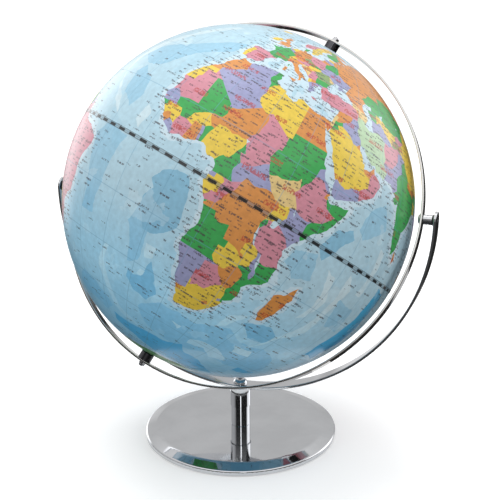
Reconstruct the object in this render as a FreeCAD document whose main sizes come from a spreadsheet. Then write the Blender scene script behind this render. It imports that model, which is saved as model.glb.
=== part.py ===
import FreeCAD, Part
import os
import re
import Sketcher
from FreeCAD import Rotation, Vector

# Desktop globe of the gyro kind, in millimetres, +Z up.
# The origin is the middle of the base's underside. +X runs along the pivot axis, towards the
# right-hand pivot, and the support arm lies in the XZ plane. The ring turns on the arm about
# the pivot axis, and the ball turns in the ring about the pole axis. Both cross at the ball's
# centre. The ring is modelled leaning back by ring_tilt, with its top towards +Y.

DRIVING_SIZES = {
    # map ball
    "globe_radius": 152.4,
    "globe_height": 220.5,
    "shell_wall": 2.0,
    "tape_width": 3.2,
    "tape_thick": 0.15,
    "splice_width": 16.0,
    "splice_wall": 2.2,
    # meridian ring
    "ring_radius": 162.7,
    "ring_wall": 1.9,
    "ring_width": 9.4,
    "ring_edge": 0.5,
    "ring_tilt": 27.35,
    "pole_lean": 23.44,
    # support arm
    "arm_radius": 174.7,
    "arm_wall": 2.3,
    "arm_width": 15.0,
    "arm_edge": 0.6,
    # post and base
    "post_radius": 9.6,
    "post_edge": 0.8,
    "stem_radius": 8.9,
    "stem_height": 19.5,
    "seam_size": 0.6,
    "base_radius": 88.0,
    "base_height": 7.5,
    "base_lip": 0.8,
    "slope_start": 77.0,
    "slope_drop": 2.6,
    "slope_round": 14.0,
    "rim_round": 2.2,
    "cover_wall": 1.2,
    "weight_radius": 85.5,
    "weight_drop": 3.4,
    "pad_radius": 83.5,
    "pad_thick": 1.6,
    "pad_window": 13.0,
    # base bolt and washer
    "bolt_radius": 3.0,
    "bolt_head": 3.0,
    "bolt_across": 10.0,
    "bolt_inset": 0.8,
    "bolt_grip": 14.0,
    "washer_radius": 9.0,
    "washer_thick": 1.0,
    "hole_play": 0.25,
    "thread_play": 0.05,
    "tap_extra": 1.0,
    # screw that holds the arm on the post
    "screw_radius": 2.5,
    "screw_head_radius": 6.4,
    "screw_head": 3.6,
    "screw_dome": 3.0,
    "screw_grip": 13.0,
    "socket_across": 4.0,
    "socket_depth": 2.0,
    # ring pivots
    "pivot_radius": 2.0,
    "pivot_play": 0.05,
    "pivot_gap": 0.3,
    "pivot_head_radius": 4.0,
    "pivot_head": 1.6,
    "pivot_dome": 1.2,
    "disc_radius": 4.6,
    "disc_thick": 1.3,
    "spacer_radius": 4.2,
    "spacer_edge": 0.5,
    "groove_width": 1.0,
    "groove_depth": 0.5,
    # pole fittings
    "pole_radius": 1.5,
    "pole_play": 0.05,
    "pole_gap": 0.7,
    "collar_radius": 6.0,
    "collar_edge": 0.8,
    "nut_across": 5.6,
    "nut_hex": 1.8,
    "nut_dome": 2.2,
    "pole_head_radius": 4.0,
    "pole_head": 1.6,
    "bush_radius": 5.5,
    "bush_proud": 0.15,
    "bush_flange": 2.0,
    "bush_flange_radius": 10.0,
}

# Sizes that follow from the driving ones.
GLOBE_INNER = "(globe_radius - shell_wall)"
RING_INNER = "(ring_radius - ring_wall)"
ARM_INNER = "(arm_radius - arm_wall)"
COVER_UNDER = "(base_height - cover_wall)"
BOLT_SEAT = "(bolt_inset + bolt_head + washer_thick)"
ARM_UNDERSIDE = "(globe_height - arm_radius)"
POST_HEIGHT = f"({ARM_UNDERSIDE} - base_height)"

doc = FreeCAD.newDocument("desk_globe")
sheet = doc.addObject("Spreadsheet::Sheet", "dims")
for row, (alias, value) in enumerate(DRIVING_SIZES.items(), start=1):
    sheet.set(f"A{row}", alias)
    sheet.set(f"B{row}", str(value))
    sheet.setAlias(f"B{row}", alias)
doc.recompute()

sub_parts = []


# ------------------------------------------------------------------ drawing helpers

def size(alias):
    """One driving size as a number."""
    return float(sheet.get(alias))


def bound(formula):
    """Point every size name in a formula (words joined by underscores) at its cell."""
    return re.sub(r"\b[a-z]+(_[a-z]+)+\b", r"dims.\g<0>", str(formula))


def chord(radius, offset):
    """Formula for how far a circle's edge is from its middle line at a sideways offset."""
    return f"sqrt(({radius})^2 - ({offset})^2)"


def keep(item, label, where=None):
    """Name a finished sub-part, put it in its place and list it for export."""
    item.Label = label
    if where:
        item.setExpression("Placement", bound(where))
    sub_parts.append(item)
    return item


def new_body(name):
    return doc.addObject("PartDesign::Body", name)


def new_sketch(body, plane, turn=None):
    """A sketch on one of the body's own origin planes, or on that plane turned about its X."""
    sketch = body.newObject("Sketcher::SketchObject", body.Name + "_sketch")
    feature = next(item for item in body.Origin.OriginFeatures if item.Role == plane)
    sketch.AttachmentSupport = [(feature, "")]
    sketch.MapMode = "FlatFace"
    if turn:
        sketch.setExpression("AttachmentOffset", bound(f"placement(vector(0; 0; 0); {turn})"))
    return sketch


def dimension(sketch, kind, geometry, point, rough, formula):
    """Dimension one coordinate of a point from the origin, or lay it on the axis when zero."""
    if formula == "0":
        axis = -2 if kind == "DistanceX" else -1
        sketch.addConstraint(Sketcher.Constraint("PointOnObject", geometry, point, axis))
        return
    index = sketch.addConstraint(Sketcher.Constraint(kind, -1, 1, geometry, point, rough))
    name = f"{kind}_{geometry}_{point}"
    sketch.renameConstraint(index, name)
    sketch.setExpression("Constraints." + name, bound(formula))


def draw_outline(sketch, corners):
    """A closed outline of straight lines: laid out roughly, then every corner dimensioned."""
    count = len(corners)
    turn = Rotation(Vector(0, 0, 1), 360.0 / count)
    rough = [Vector(10, 0, 0)]
    while len(rough) < count:
        rough.append(turn.multVec(rough[-1]))
    first = sketch.GeometryCount
    for index in range(count):
        line = Part.LineSegment(rough[index], rough[(index + 1) % count])
        sketch.addGeometry(line, False)
    for index in range(count):
        after = first + (index + 1) % count
        sketch.addConstraint(Sketcher.Constraint("Coincident", first + index, 2, after, 1))
    for index, (across, up) in enumerate(corners):
        dimension(sketch, "DistanceX", first + index, 1, rough[index].x, across)
        dimension(sketch, "DistanceY", first + index, 1, rough[index].y, up)


def draw_circle(sketch, radius, up="0"):
    """A circle centred on the sketch's Y axis."""
    index = sketch.GeometryCount
    sketch.addGeometry(Part.Circle(Vector(0, 0, 0), Vector(0, 0, 1), 1.0), False)
    dimension(sketch, "DistanceX", index, 3, 0.0, "0")
    dimension(sketch, "DistanceY", index, 3, 0.0, up)
    mark = sketch.addConstraint(Sketcher.Constraint("Radius", index, 1.0))
    sketch.renameConstraint(mark, f"radius_{index}")
    sketch.setExpression(f"Constraints.radius_{index}", bound(radius))


def draw_hexagon(sketch, across_flats):
    """A regular hexagon round the origin, with two flats parallel to X."""
    half = f"({across_flats} / 2)"
    side = f"({across_flats} / 2 / cos(30))"
    corners = [
        (side, "0"),
        (f"{side} / 2", half),
        (f"-{side} / 2", half),
        (f"-{side}", "0"),
        (f"-{side} / 2", f"-{half}"),
        (f"{side} / 2", f"-{half}"),
    ]
    draw_outline(sketch, corners)


def revolve(body, corners, plane="XZ_Plane"):
    """A solid of revolution about the sketch's Y axis from (radius, height) corners."""
    sketch = new_sketch(body, plane)
    draw_outline(sketch, corners)
    feature = body.newObject("PartDesign::Revolution", body.Name + "_revolution")
    feature.Profile = sketch
    feature.ReferenceAxis = (sketch, ["V_Axis"])
    feature.Angle = 360.0
    doc.recompute()
    return feature


def pad(body, sketch, length, symmetric=False):
    feature = body.newObject("PartDesign::Pad", body.Name + "_pad")
    feature.Profile = sketch
    feature.SideType = "Symmetric" if symmetric else "One side"
    feature.setExpression("Length", bound(length))
    doc.recompute()
    return feature


def pocket(body, sketch, symmetric=False, length=None, backwards=False):
    """Cut a sketch out of the body, and insist that it removed something."""
    before = body.Tip.Shape.Volume
    feature = body.newObject("PartDesign::Pocket", body.Name + "_pocket")
    feature.Profile = sketch
    feature.SideType = "Symmetric" if symmetric else "One side"
    feature.Reversed = backwards
    if length:
        feature.setExpression("Length", bound(length))
    else:
        feature.Type = "ThroughAll"
    doc.recompute()
    if feature.Shape.Volume > before - 0.01:
        raise RuntimeError(body.Name + ": a pocket cut nothing")
    return feature


def round_edges(body, radius, wanted):
    """Fillet the edges of the body so far that pass a test."""
    base = body.Tip
    names = [f"Edge{index}" for index, edge in enumerate(base.Shape.Edges, start=1) if wanted(edge)]
    feature = body.newObject("PartDesign::Fillet", body.Name + "_fillet")
    feature.Base = (base, names)
    feature.setExpression("Radius", bound(radius))
    doc.recompute()
    return feature


def is_circle(edge, radius, height=None):
    """True for a round edge of this radius, centred at this height along Z."""
    if not isinstance(edge.Curve, Part.Circle):
        return False
    if abs(edge.Curve.Radius - radius) > 0.01:
        return False
    return height is None or abs(edge.Curve.Center.z - height) < 0.01


def cylinder(name, radius, length, low="0"):
    item = doc.addObject("Part::Cylinder", name)
    item.setExpression("Radius", bound(radius))
    item.setExpression("Height", bound(length))
    item.setExpression("Placement.Base.z", bound(low))
    return item


def sphere(name, radius, lowest=-90.0, highest=90.0):
    item = doc.addObject("Part::Sphere", name)
    item.setExpression("Radius", bound(radius))
    item.Angle1 = lowest
    item.Angle2 = highest
    return item


def combine(kind, name, base, tool):
    """A Part boolean of two objects: Cut or Common."""
    item = doc.addObject("Part::" + kind, name)
    item.Base = base
    item.Tool = tool
    return item


# ------------------------------------------------------------------ places

NO_TURN = "rotation(vector(0; 0; 1); 0)"
AT_GLOBE = "placement(vector(0; 0; globe_height); {turn})"
TILTED = AT_GLOBE.format(turn="rotation(vector(1; 0; 0); -ring_tilt)")
ALONG_POLES = f"{TILTED} * placement(vector(0; 0; 0); rotation(vector(0; 1; 0); pole_lean))"
UPSIDE_DOWN = "placement(vector(0; 0; 0); rotation(vector(1; 0; 0); 180))"

POLE_ENDS = {
    "north": ALONG_POLES,
    "south": f"{ALONG_POLES} * {UPSIDE_DOWN}",
}
PIVOT_ENDS = {
    "right": AT_GLOBE.format(turn="rotation(vector(0; 1; 0); 90)"),
    "left": AT_GLOBE.format(turn="rotation(vector(0; 1; 0); -90)"),
}


def raised(height):
    return f"placement(vector(0; 0; {height}); {NO_TURN})"


# ------------------------------------------------------------------ base

def make_base_cover():
    """Spun steel cover: a flat top, a shallow sloping border, a tight rim and a short skirt."""
    body = new_body("base_cover")
    hole = "(bolt_radius + hole_play)"
    inside = "(base_radius - cover_wall)"
    fall = "slope_drop / (base_radius - slope_start)"
    revolve(body, [
        (hole, COVER_UNDER),
        (hole, "base_height"),
        ("slope_start", "base_height"),
        ("base_radius", "base_height - slope_drop"),
        ("base_radius", "base_lip"),
        (inside, "base_lip"),
        (inside, f"{COVER_UNDER} - ({inside} - slope_start) * {fall}"),
        ("slope_start", COVER_UNDER),
    ])
    top = size("base_height")
    lip = size("base_lip")
    outer = size("base_radius")
    inner = outer - size("cover_wall")
    border = size("slope_start")
    shoulder = top - size("slope_drop")
    round_edges(body, "slope_round", lambda edge: is_circle(edge, border, top))
    round_edges(body, "rim_round", lambda edge: is_circle(edge, outer, shoulder))
    round_edges(
        body, "rim_round - cover_wall",
        lambda edge: is_circle(edge, inner) and not is_circle(edge, inner, lip),
    )
    keep(body, "base_cover")


def make_base_weight():
    """Cast disc that fills the cover, with a counterbore below for the bolt's head."""
    body = new_body("base_weight")
    hole = "(bolt_radius + hole_play)"
    counterbore = "(washer_radius + 2 * hole_play)"
    revolve(body, [
        (counterbore, "pad_thick"),
        ("weight_radius", "pad_thick"),
        ("weight_radius", f"{COVER_UNDER} - weight_drop"),
        ("slope_start", COVER_UNDER),
        (hole, COVER_UNDER),
        (hole, BOLT_SEAT),
        (counterbore, BOLT_SEAT),
    ])
    keep(body, "base_weight")


def make_flat_ring(label, outer, inner, thick, height):
    """A flat ring with its underside at a height."""
    body = new_body(label)
    sketch = new_sketch(body, "XY_Plane")
    draw_circle(sketch, outer)
    draw_circle(sketch, inner)
    pad(body, sketch, thick)
    keep(body, label, raised(height))


def make_base_bolt():
    """Low hexagon-head bolt, driven up through the weight and the cover into the post."""
    body = new_body("base_bolt")
    head = new_sketch(body, "XY_Plane")
    draw_hexagon(head, "bolt_across")
    pad(body, head, "bolt_head")
    shank = new_sketch(body, "XY_Plane")
    draw_circle(shank, "bolt_radius")
    pad(body, shank, "base_height - bolt_inset + bolt_grip")
    keep(body, "base_bolt", raised("bolt_inset"))


def make_post():
    """Turned post, thinner below a seam, with a tapped hole in each end and a saddle for the arm."""
    body = new_body("post")
    bottom_tap = "(bolt_radius + thread_play)"
    top_tap = "(screw_radius + thread_play)"
    top = f"{POST_HEIGHT} + arm_radius - {chord('arm_radius', 'post_radius')}"
    revolve(body, [
        (bottom_tap, "0"),
        ("stem_radius - post_edge / 2", "0"),
        ("stem_radius", "post_edge / 2"),
        ("stem_radius", "stem_height - seam_size"),
        ("stem_radius - seam_size", "stem_height - seam_size"),
        ("stem_radius - seam_size", "stem_height"),
        ("post_radius", "stem_height"),
        ("post_radius", f"{top} - post_edge"),
        ("post_radius - post_edge", top),
        (top_tap, top),
        (top_tap, f"{POST_HEIGHT} - screw_grip - tap_extra"),
        ("0", f"{POST_HEIGHT} - screw_grip - tap_extra"),
        ("0", "bolt_grip + tap_extra"),
        (bottom_tap, "bolt_grip + tap_extra"),
    ])
    saddle = new_sketch(body, "XZ_Plane")
    draw_circle(saddle, "arm_radius", "globe_height - base_height")
    pocket(body, saddle, symmetric=True, length="4 * post_radius")
    keep(body, "post", raised("base_height"))


# ------------------------------------------------------------------ support arm

def draw_half_ring(sketch, outer, inner, rise):
    """Half ring that opens upwards, its ends carried straight up by a short rise."""
    arcs = []
    for index, radius in enumerate((20.0, 10.0)):
        circle = Part.Circle(Vector(0, 0, 0), Vector(0, 0, 1), radius)
        arcs.append(sketch.addGeometry(Part.ArcOfCircle(circle, 3.1416, 6.2832), False))
    outer_arc, inner_arc = arcs
    right = [Vector(20, 0, 0), Vector(20, 5, 0), Vector(10, 5, 0), Vector(10, 0, 0)]
    left = [Vector(-point.x, point.y, 0) for point in right]
    ends = []
    for corner in (right, left):
        lines = []
        for start, finish in zip(corner, corner[1:]):
            lines.append(sketch.addGeometry(Part.LineSegment(start, finish), False))
        sketch.addConstraint(Sketcher.Constraint("Coincident", lines[0], 2, lines[1], 1))
        sketch.addConstraint(Sketcher.Constraint("Coincident", lines[1], 2, lines[2], 1))
        sketch.addConstraint(Sketcher.Constraint("Vertical", lines[0]))
        sketch.addConstraint(Sketcher.Constraint("Horizontal", lines[1]))
        sketch.addConstraint(Sketcher.Constraint("Vertical", lines[2]))
        dimension(sketch, "DistanceY", lines[0], 2, 5.0, rise)
        ends.append((lines[0], lines[2]))
    for arc, radius, side in ((outer_arc, outer, 0), (inner_arc, inner, 1)):
        sketch.addConstraint(Sketcher.Constraint("Coincident", arc, 3, -1, 1))
        mark = sketch.addConstraint(Sketcher.Constraint("Radius", arc, 20.0 - 10.0 * side))
        sketch.renameConstraint(mark, f"radius_{side}")
        sketch.setExpression(f"Constraints.radius_{side}", bound(radius))
        point = 1 if side == 0 else 2
        for arc_point, lines in ((2, ends[0]), (1, ends[1])):
            link = Sketcher.Constraint("Coincident", arc, arc_point, lines[side], point)
            sketch.addConstraint(link)
            sketch.addConstraint(Sketcher.Constraint("PointOnObject", arc, arc_point, -1))


def draw_end_trim(sketch, half_width):
    """Everything above a half circle of this radius: what rounds off the end of a bar."""
    circle = Part.Circle(Vector(0, 0, 0), Vector(0, 0, 1), 5.0)
    arc = sketch.addGeometry(Part.ArcOfCircle(circle, 0.0, 3.1416), False)
    corners = [Vector(-5, 0, 0), Vector(-7, 0, 0), Vector(-7, 7, 0), Vector(7, 7, 0)]
    corners += [Vector(7, 0, 0), Vector(5, 0, 0)]
    lines = []
    for start, finish in zip(corners, corners[1:]):
        lines.append(sketch.addGeometry(Part.LineSegment(start, finish), False))
    for before, after in zip(lines, lines[1:]):
        sketch.addConstraint(Sketcher.Constraint("Coincident", before, 2, after, 1))
    sketch.addConstraint(Sketcher.Constraint("Coincident", arc, 2, lines[0], 1))
    sketch.addConstraint(Sketcher.Constraint("Coincident", arc, 1, lines[-1], 2))
    sketch.addConstraint(Sketcher.Constraint("Coincident", arc, 3, -1, 1))
    for line in (lines[0], lines[2], lines[4]):
        sketch.addConstraint(Sketcher.Constraint("Horizontal", line))
    for line in (lines[1], lines[3]):
        sketch.addConstraint(Sketcher.Constraint("Vertical", line))
    sketch.addConstraint(Sketcher.Constraint("PointOnObject", arc, 1, -1))
    sketch.addConstraint(Sketcher.Constraint("PointOnObject", arc, 2, -1))
    mark = sketch.addConstraint(Sketcher.Constraint("Radius", arc, 5.0))
    sketch.renameConstraint(mark, "end_radius")
    sketch.setExpression("Constraints.end_radius", bound(half_width))
    dimension(sketch, "DistanceX", lines[2], 1, -7.0, f"-2 * ({half_width})")
    dimension(sketch, "DistanceX", lines[2], 2, 7.0, f"2 * ({half_width})")
    dimension(sketch, "DistanceY", lines[2], 1, 7.0, f"2 * ({half_width})")


def make_support_arm():
    """Flat bar bent to a half ring, its ends rounded round the pivot holes."""
    body = new_body("support_arm")
    profile = new_sketch(body, "XZ_Plane")
    draw_half_ring(profile, "arm_radius", ARM_INNER, "arm_width / 2 + arm_edge")
    pad(body, profile, "arm_width", symmetric=True)
    trim = new_sketch(body, "YZ_Plane")
    draw_end_trim(trim, "arm_width / 2")
    pocket(body, trim, symmetric=True)
    half = size("arm_width") / 2
    faces = (size("arm_radius"), size("arm_radius") - size("arm_wall"))

    def runs_along_bar(edge):
        middle = edge.valueAt((edge.FirstParameter + edge.LastParameter) / 2)
        on_side = abs(abs(middle.y) - half) < 0.01
        on_end = is_circle(edge, half)
        return on_end or (on_side and edge.Length > size("arm_wall") * 1.5)

    round_edges(body, "arm_edge", runs_along_bar)
    pivot_holes = new_sketch(body, "YZ_Plane")
    draw_circle(pivot_holes, "pivot_radius + thread_play")
    pocket(body, pivot_holes, symmetric=True)
    screw_hole = new_sketch(body, "XY_Plane")
    draw_circle(screw_hole, "screw_radius + hole_play")
    pocket(body, screw_hole)
    keep(body, "support_arm", AT_GLOBE.format(turn=NO_TURN))


def make_arm_screw():
    """Button-head socket screw that holds the arm down on the post."""
    body = new_body("arm_screw")
    grip = f"({chord(ARM_INNER, 'screw_head_radius')} - arm_radius - screw_grip)"
    revolve(body, [
        ("0", grip),
        ("screw_radius", grip),
        ("screw_radius", "0"),
        ("screw_head_radius", "0"),
        ("screw_head_radius", "screw_head"),
        ("0", "screw_head"),
    ])
    rim = size("screw_head_radius")
    round_edges(body, "screw_dome", lambda edge: is_circle(edge, rim, size("screw_head")))
    socket = new_sketch(body, "XY_Plane")
    draw_hexagon(socket, "socket_across")
    socket.setExpression("AttachmentOffset.Base.z", bound("screw_head"))
    pocket(body, socket, length="socket_depth")
    seat = f"globe_height - {chord(ARM_INNER, 'screw_head_radius')}"
    keep(body, "arm_screw", raised(seat))


# ------------------------------------------------------------------ ring pivots

# Distances along the pivot axis from the ball's centre. The flat faces of the small pieces
# meet the curved bar along two lines, so they stop at the chord of their own radius.
PIVOT_HEAD_FACE = f"({chord(RING_INNER, 'pivot_head_radius')} - pivot_gap)"
SPACER_START = "(ring_radius + pivot_gap)"
DISC_END = chord(ARM_INNER, "disc_radius")
DISC_START = f"({DISC_END} - disc_thick)"


def make_pivot_screw(side):
    """Screw from inside the ring, through the ring and the spacer, fixed in the arm."""
    body = new_body(f"pivot_screw_{side}")
    inner_end = f"({PIVOT_HEAD_FACE} - pivot_head)"
    revolve(body, [
        ("0", inner_end),
        ("pivot_head_radius", inner_end),
        ("pivot_head_radius", PIVOT_HEAD_FACE),
        ("pivot_radius", PIVOT_HEAD_FACE),
        ("pivot_radius", "arm_radius"),
        ("0", "arm_radius"),
    ])
    bar = size("ring_radius") - size("ring_wall")
    face = (bar ** 2 - size("pivot_head_radius") ** 2) ** 0.5 - size("pivot_gap")
    low = face - size("pivot_head")
    rim = size("pivot_head_radius")
    round_edges(body, "pivot_dome", lambda edge: is_circle(edge, rim, low))
    keep(body, body.Name, PIVOT_ENDS[side])


def make_pivot_spacer(side):
    """Turned spacer between ring and arm, with chamfered ends and one groove."""
    body = new_body(f"pivot_spacer_{side}")
    bore = "(pivot_radius + pivot_play)"
    middle = f"(({SPACER_START} + {DISC_START}) / 2)"
    floor = "spacer_radius - groove_depth"
    revolve(body, [
        (bore, SPACER_START),
        ("spacer_radius - spacer_edge", SPACER_START),
        ("spacer_radius", f"{SPACER_START} + spacer_edge"),
        ("spacer_radius", f"{middle} - groove_width / 2"),
        (floor, f"{middle} - groove_width / 2"),
        (floor, f"{middle} + groove_width / 2"),
        ("spacer_radius", f"{middle} + groove_width / 2"),
        ("spacer_radius", f"{DISC_START} - spacer_edge"),
        ("spacer_radius - spacer_edge", DISC_START),
        (bore, DISC_START),
    ])
    keep(body, body.Name, PIVOT_ENDS[side])


def make_pivot_washer(side):
    """Nylon disc between the spacer and the arm."""
    body = new_body(f"pivot_washer_{side}")
    bore = "(pivot_radius + pivot_play)"
    revolve(body, [
        (bore, DISC_START),
        ("disc_radius", DISC_START),
        ("disc_radius", DISC_END),
        (bore, DISC_END),
    ])
    keep(body, body.Name, PIVOT_ENDS[side])


# ------------------------------------------------------------------ meridian ring

def make_meridian_ring():
    """Full ring of flat bar, drilled for the two pivots and the two poles."""
    body = new_body("meridian_ring")
    revolve(body, [
        (RING_INNER, "-ring_width / 2"),
        ("ring_radius", "-ring_width / 2"),
        ("ring_radius", "ring_width / 2"),
        (RING_INNER, "ring_width / 2"),
    ], plane="XY_Plane")
    round_edges(body, "ring_edge", lambda edge: isinstance(edge.Curve, Part.Circle))
    pivots = new_sketch(body, "YZ_Plane")
    draw_circle(pivots, "pivot_radius + pivot_play")
    pocket(body, pivots, symmetric=True)
    poles = new_sketch(body, "YZ_Plane", "rotation(vector(1; 0; 0); pole_lean - 90)")
    draw_circle(poles, "pole_radius + pole_play")
    pocket(body, poles, symmetric=True)
    keep(body, "meridian_ring", TILTED)


# ------------------------------------------------------------------ pole fittings

# Distances along the pole axis from the ball's centre.
FLANGE_TOP = chord(GLOBE_INNER, "bush_flange_radius")
FLANGE_LOW = f"({FLANGE_TOP} - bush_flange)"
PIN_HEAD_TOP = f"({FLANGE_LOW} - pivot_gap)"
COLLAR_LOW = "(globe_radius + pole_gap)"
COLLAR_TOP = chord(RING_INNER, "collar_radius")


def make_pole_pin(pole):
    """Pin with a flat head inside the ball, run out through the ring into the nut."""
    body = new_body(f"pole_pin_{pole}")
    outer_end = "(ring_radius + nut_hex)"
    revolve(body, [
        ("0", f"{PIN_HEAD_TOP} - pole_head"),
        ("pole_head_radius", f"{PIN_HEAD_TOP} - pole_head"),
        ("pole_head_radius", PIN_HEAD_TOP),
        ("pole_radius", PIN_HEAD_TOP),
        ("pole_radius", outer_end),
        ("0", outer_end),
    ])
    keep(body, body.Name, POLE_ENDS[pole])


def make_pole_collar(pole):
    """Turned collar that fills the gap between the ball and the ring."""
    body = new_body(f"pole_collar_{pole}")
    bore = "(pole_radius + pole_play)"
    revolve(body, [
        (bore, COLLAR_LOW),
        ("collar_radius - collar_edge", COLLAR_LOW),
        ("collar_radius", f"{COLLAR_LOW} + collar_edge"),
        ("collar_radius", COLLAR_TOP),
        (bore, COLLAR_TOP),
    ])
    keep(body, body.Name, POLE_ENDS[pole])


def make_pole_nut(pole):
    """Small cap nut outside the ring: a hexagon with a dome on it and a blind hole."""
    body = new_body(f"pole_nut_{pole}")
    hexagon = new_sketch(body, "XY_Plane")
    draw_hexagon(hexagon, "nut_across")
    pad(body, hexagon, "nut_hex")
    dome = new_sketch(body, "XY_Plane")
    draw_circle(dome, "nut_across / 2")
    pad(body, dome, "nut_hex + nut_dome")
    rim = size("nut_across") / 2
    tip = size("nut_hex") + size("nut_dome")
    round_edges(body, "nut_dome - thread_play", lambda edge: is_circle(edge, rim, tip))
    hole = new_sketch(body, "XY_Plane")
    draw_circle(hole, "pole_radius + pole_play")
    pocket(body, hole, length="nut_hex + pole_play", backwards=True)
    seat = f"placement(vector(0; 0; ring_radius); {NO_TURN})"
    keep(body, body.Name, f"{POLE_ENDS[pole]} * {seat}")


def make_pole_bush(pole):
    """Flanged bush, glued in the shell, that turns on the pole pin."""
    body = new_body(f"pole_bush_{pole}")
    bore = "(pole_radius + pole_play)"
    revolve(body, [
        (bore, FLANGE_LOW),
        ("bush_flange_radius", FLANGE_LOW),
        ("bush_flange_radius", FLANGE_TOP),
        ("bush_radius", FLANGE_TOP),
        ("bush_radius", "globe_radius + bush_proud"),
        (bore, "globe_radius + bush_proud"),
    ])
    keep(body, body.Name, POLE_ENDS[pole])


# ------------------------------------------------------------------ ball

def make_hemisphere(pole):
    """Half of the ball: a thin shell with a hole at its pole for the bush."""
    name = f"{pole}_hemisphere"
    outside = sphere(name + "_outside", "globe_radius", lowest=0.0)
    inside = sphere(name + "_inside", GLOBE_INNER)
    hole = cylinder(name + "_hole", "bush_radius + thread_play", "2 * globe_radius")
    shell = combine("Cut", name + "_shell", outside, inside)
    keep(combine("Cut", name, shell, hole), name, POLE_ENDS[pole])


def make_band(label, width, outer, inner_tool):
    """A band round the equator: a slice of a sphere less whatever fills its middle."""
    ball = sphere(label + "_ball", outer)
    slab = cylinder(label + "_slab", "2 * globe_radius", width, f"-({width}) / 2")
    slice_of_ball = combine("Common", label + "_slice", ball, slab)
    keep(combine("Cut", label, slice_of_ball, inner_tool), label, ALONG_POLES)


def make_equator_tape():
    """Printed tape over the seam of the ball."""
    filler = sphere("tape_filler", "globe_radius")
    make_band("equator_tape", "tape_width", "globe_radius + tape_thick", filler)


def make_splice_ring():
    """Hoop inside the ball that both halves are glued to."""
    filler = cylinder("splice_filler", f"{GLOBE_INNER} - splice_wall", "globe_radius", "-globe_radius / 2")
    make_band("splice_ring", "splice_width", GLOBE_INNER, filler)


# ------------------------------------------------------------------ assembly

make_base_cover()
make_base_weight()
make_flat_ring("base_pad", "pad_radius", "pad_window", "pad_thick", "0")
make_flat_ring("base_washer", "washer_radius", "bolt_radius + hole_play", "washer_thick",
               "bolt_inset + bolt_head")
make_base_bolt()
make_post()
make_support_arm()
make_arm_screw()
for side in PIVOT_ENDS:
    make_pivot_screw(side)
    make_pivot_spacer(side)
    make_pivot_washer(side)
make_meridian_ring()
for pole in POLE_ENDS:
    make_pole_pin(pole)
    make_pole_collar(pole)
    make_pole_nut(pole)
    make_pole_bush(pole)
    make_hemisphere(pole)
make_equator_tape()
make_splice_ring()
doc.recompute()


# ------------------------------------------------------------------ checks and export

failed = [item.Name for item in doc.Objects if {"Invalid", "Error"} & set(item.State)]
for item in sub_parts:
    if item.Shape.isNull() or not item.Shape.isValid() or not item.Shape.Solids:
        failed.append(item.Label)
if failed:
    raise RuntimeError("failed objects: " + ", ".join(failed))

os.makedirs("parts", exist_ok=True)
for item in sub_parts:
    item.Shape.exportStep(f"parts/{item.Label}.step")
    box = item.Shape.BoundBox
    print(f"{item.Label:22s} {item.Shape.Volume / 1000:9.3f} cm3   z {box.ZMin:7.2f} to {box.ZMax:7.2f}")
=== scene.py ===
"""Desk globe: the printed map, plated metal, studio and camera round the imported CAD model."""

import math
import random

import bpy
import numpy
from mathutils import Matrix, Vector
from mathutils.geometry import delaunay_2d_cdt
from mathutils.kdtree import KDTree


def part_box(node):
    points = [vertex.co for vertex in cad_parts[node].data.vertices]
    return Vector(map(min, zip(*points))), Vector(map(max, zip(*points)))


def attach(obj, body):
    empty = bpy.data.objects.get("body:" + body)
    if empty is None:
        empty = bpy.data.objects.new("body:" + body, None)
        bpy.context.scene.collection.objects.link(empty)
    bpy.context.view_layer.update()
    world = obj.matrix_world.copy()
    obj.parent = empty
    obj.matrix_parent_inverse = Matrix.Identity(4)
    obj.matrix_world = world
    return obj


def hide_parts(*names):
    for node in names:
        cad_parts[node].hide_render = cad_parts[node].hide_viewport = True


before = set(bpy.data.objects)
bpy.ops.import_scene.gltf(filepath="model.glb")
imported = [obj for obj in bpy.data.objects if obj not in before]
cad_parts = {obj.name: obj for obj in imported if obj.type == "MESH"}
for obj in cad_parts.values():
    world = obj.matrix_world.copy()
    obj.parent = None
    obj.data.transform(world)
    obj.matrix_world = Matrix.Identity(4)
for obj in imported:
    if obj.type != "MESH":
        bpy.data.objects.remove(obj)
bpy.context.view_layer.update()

# ---------------------------------------------------------------- sizes, metres and degrees

north_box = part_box("north_hemisphere")
south_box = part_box("south_hemisphere")
BALL_LOW = Vector([min(pair) for pair in zip(north_box[0], south_box[0])])
BALL_HIGH = Vector([max(pair) for pair in zip(north_box[1], south_box[1])])
BALL_CENTRE = (BALL_LOW + BALL_HIGH) / 2
BALL_RADIUS = (BALL_HIGH.z - BALL_LOW.z) / 2
SHELL_THICKNESS = 0.002
TAPE_WIDTH = 0.0032
TAPE_THICKNESS = 0.00015
# A distance to shore, in degrees, past everything that the print draws along a coast.
FAR_FROM_SHORE = 9.0

RING_TILT = -27.35
AXIS_LEAN = 23.44
# The longitude that faces the globe's own x axis at rest.
FACING_LONGITUDE = 88.25
# The print sets each place up to this many degrees farther from the equator than it lies.
PRINT_STRETCH = 3.5
# The print ends here, at the edge of the hole for a pole pin.
CAP_LATITUDE = 87.62
LATTICE_STEP = 3
# How far a coast or border wanders from its written line, as a share of each step of it.
WANDER = 0.09
WANDER_SEED = 4
FINEST_STEP = 0.9
# Steps near a pole count as no narrower than this share of their width at the equator.
LEAST_SQUEEZE = 0.15
# Places closer together than this, in degrees, are one.
SAME_PLACE = 1e-4
MAP_EDGE = 180
# How far the tape reaches from the equator, in degrees of latitude as printed.
TAPE_LATITUDE = math.degrees(TAPE_WIDTH / 2 / BALL_RADIUS) / (1 + 2 * math.radians(PRINT_STRETCH))

MAP_TO_WORLD = (
    Matrix.Rotation(math.radians(RING_TILT), 3, "X")
    @ Matrix.Rotation(math.radians(AXIS_LEAN), 3, "Y")
    @ Matrix.Rotation(math.radians(-FACING_LONGITUDE), 3, "Z")
)

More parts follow.
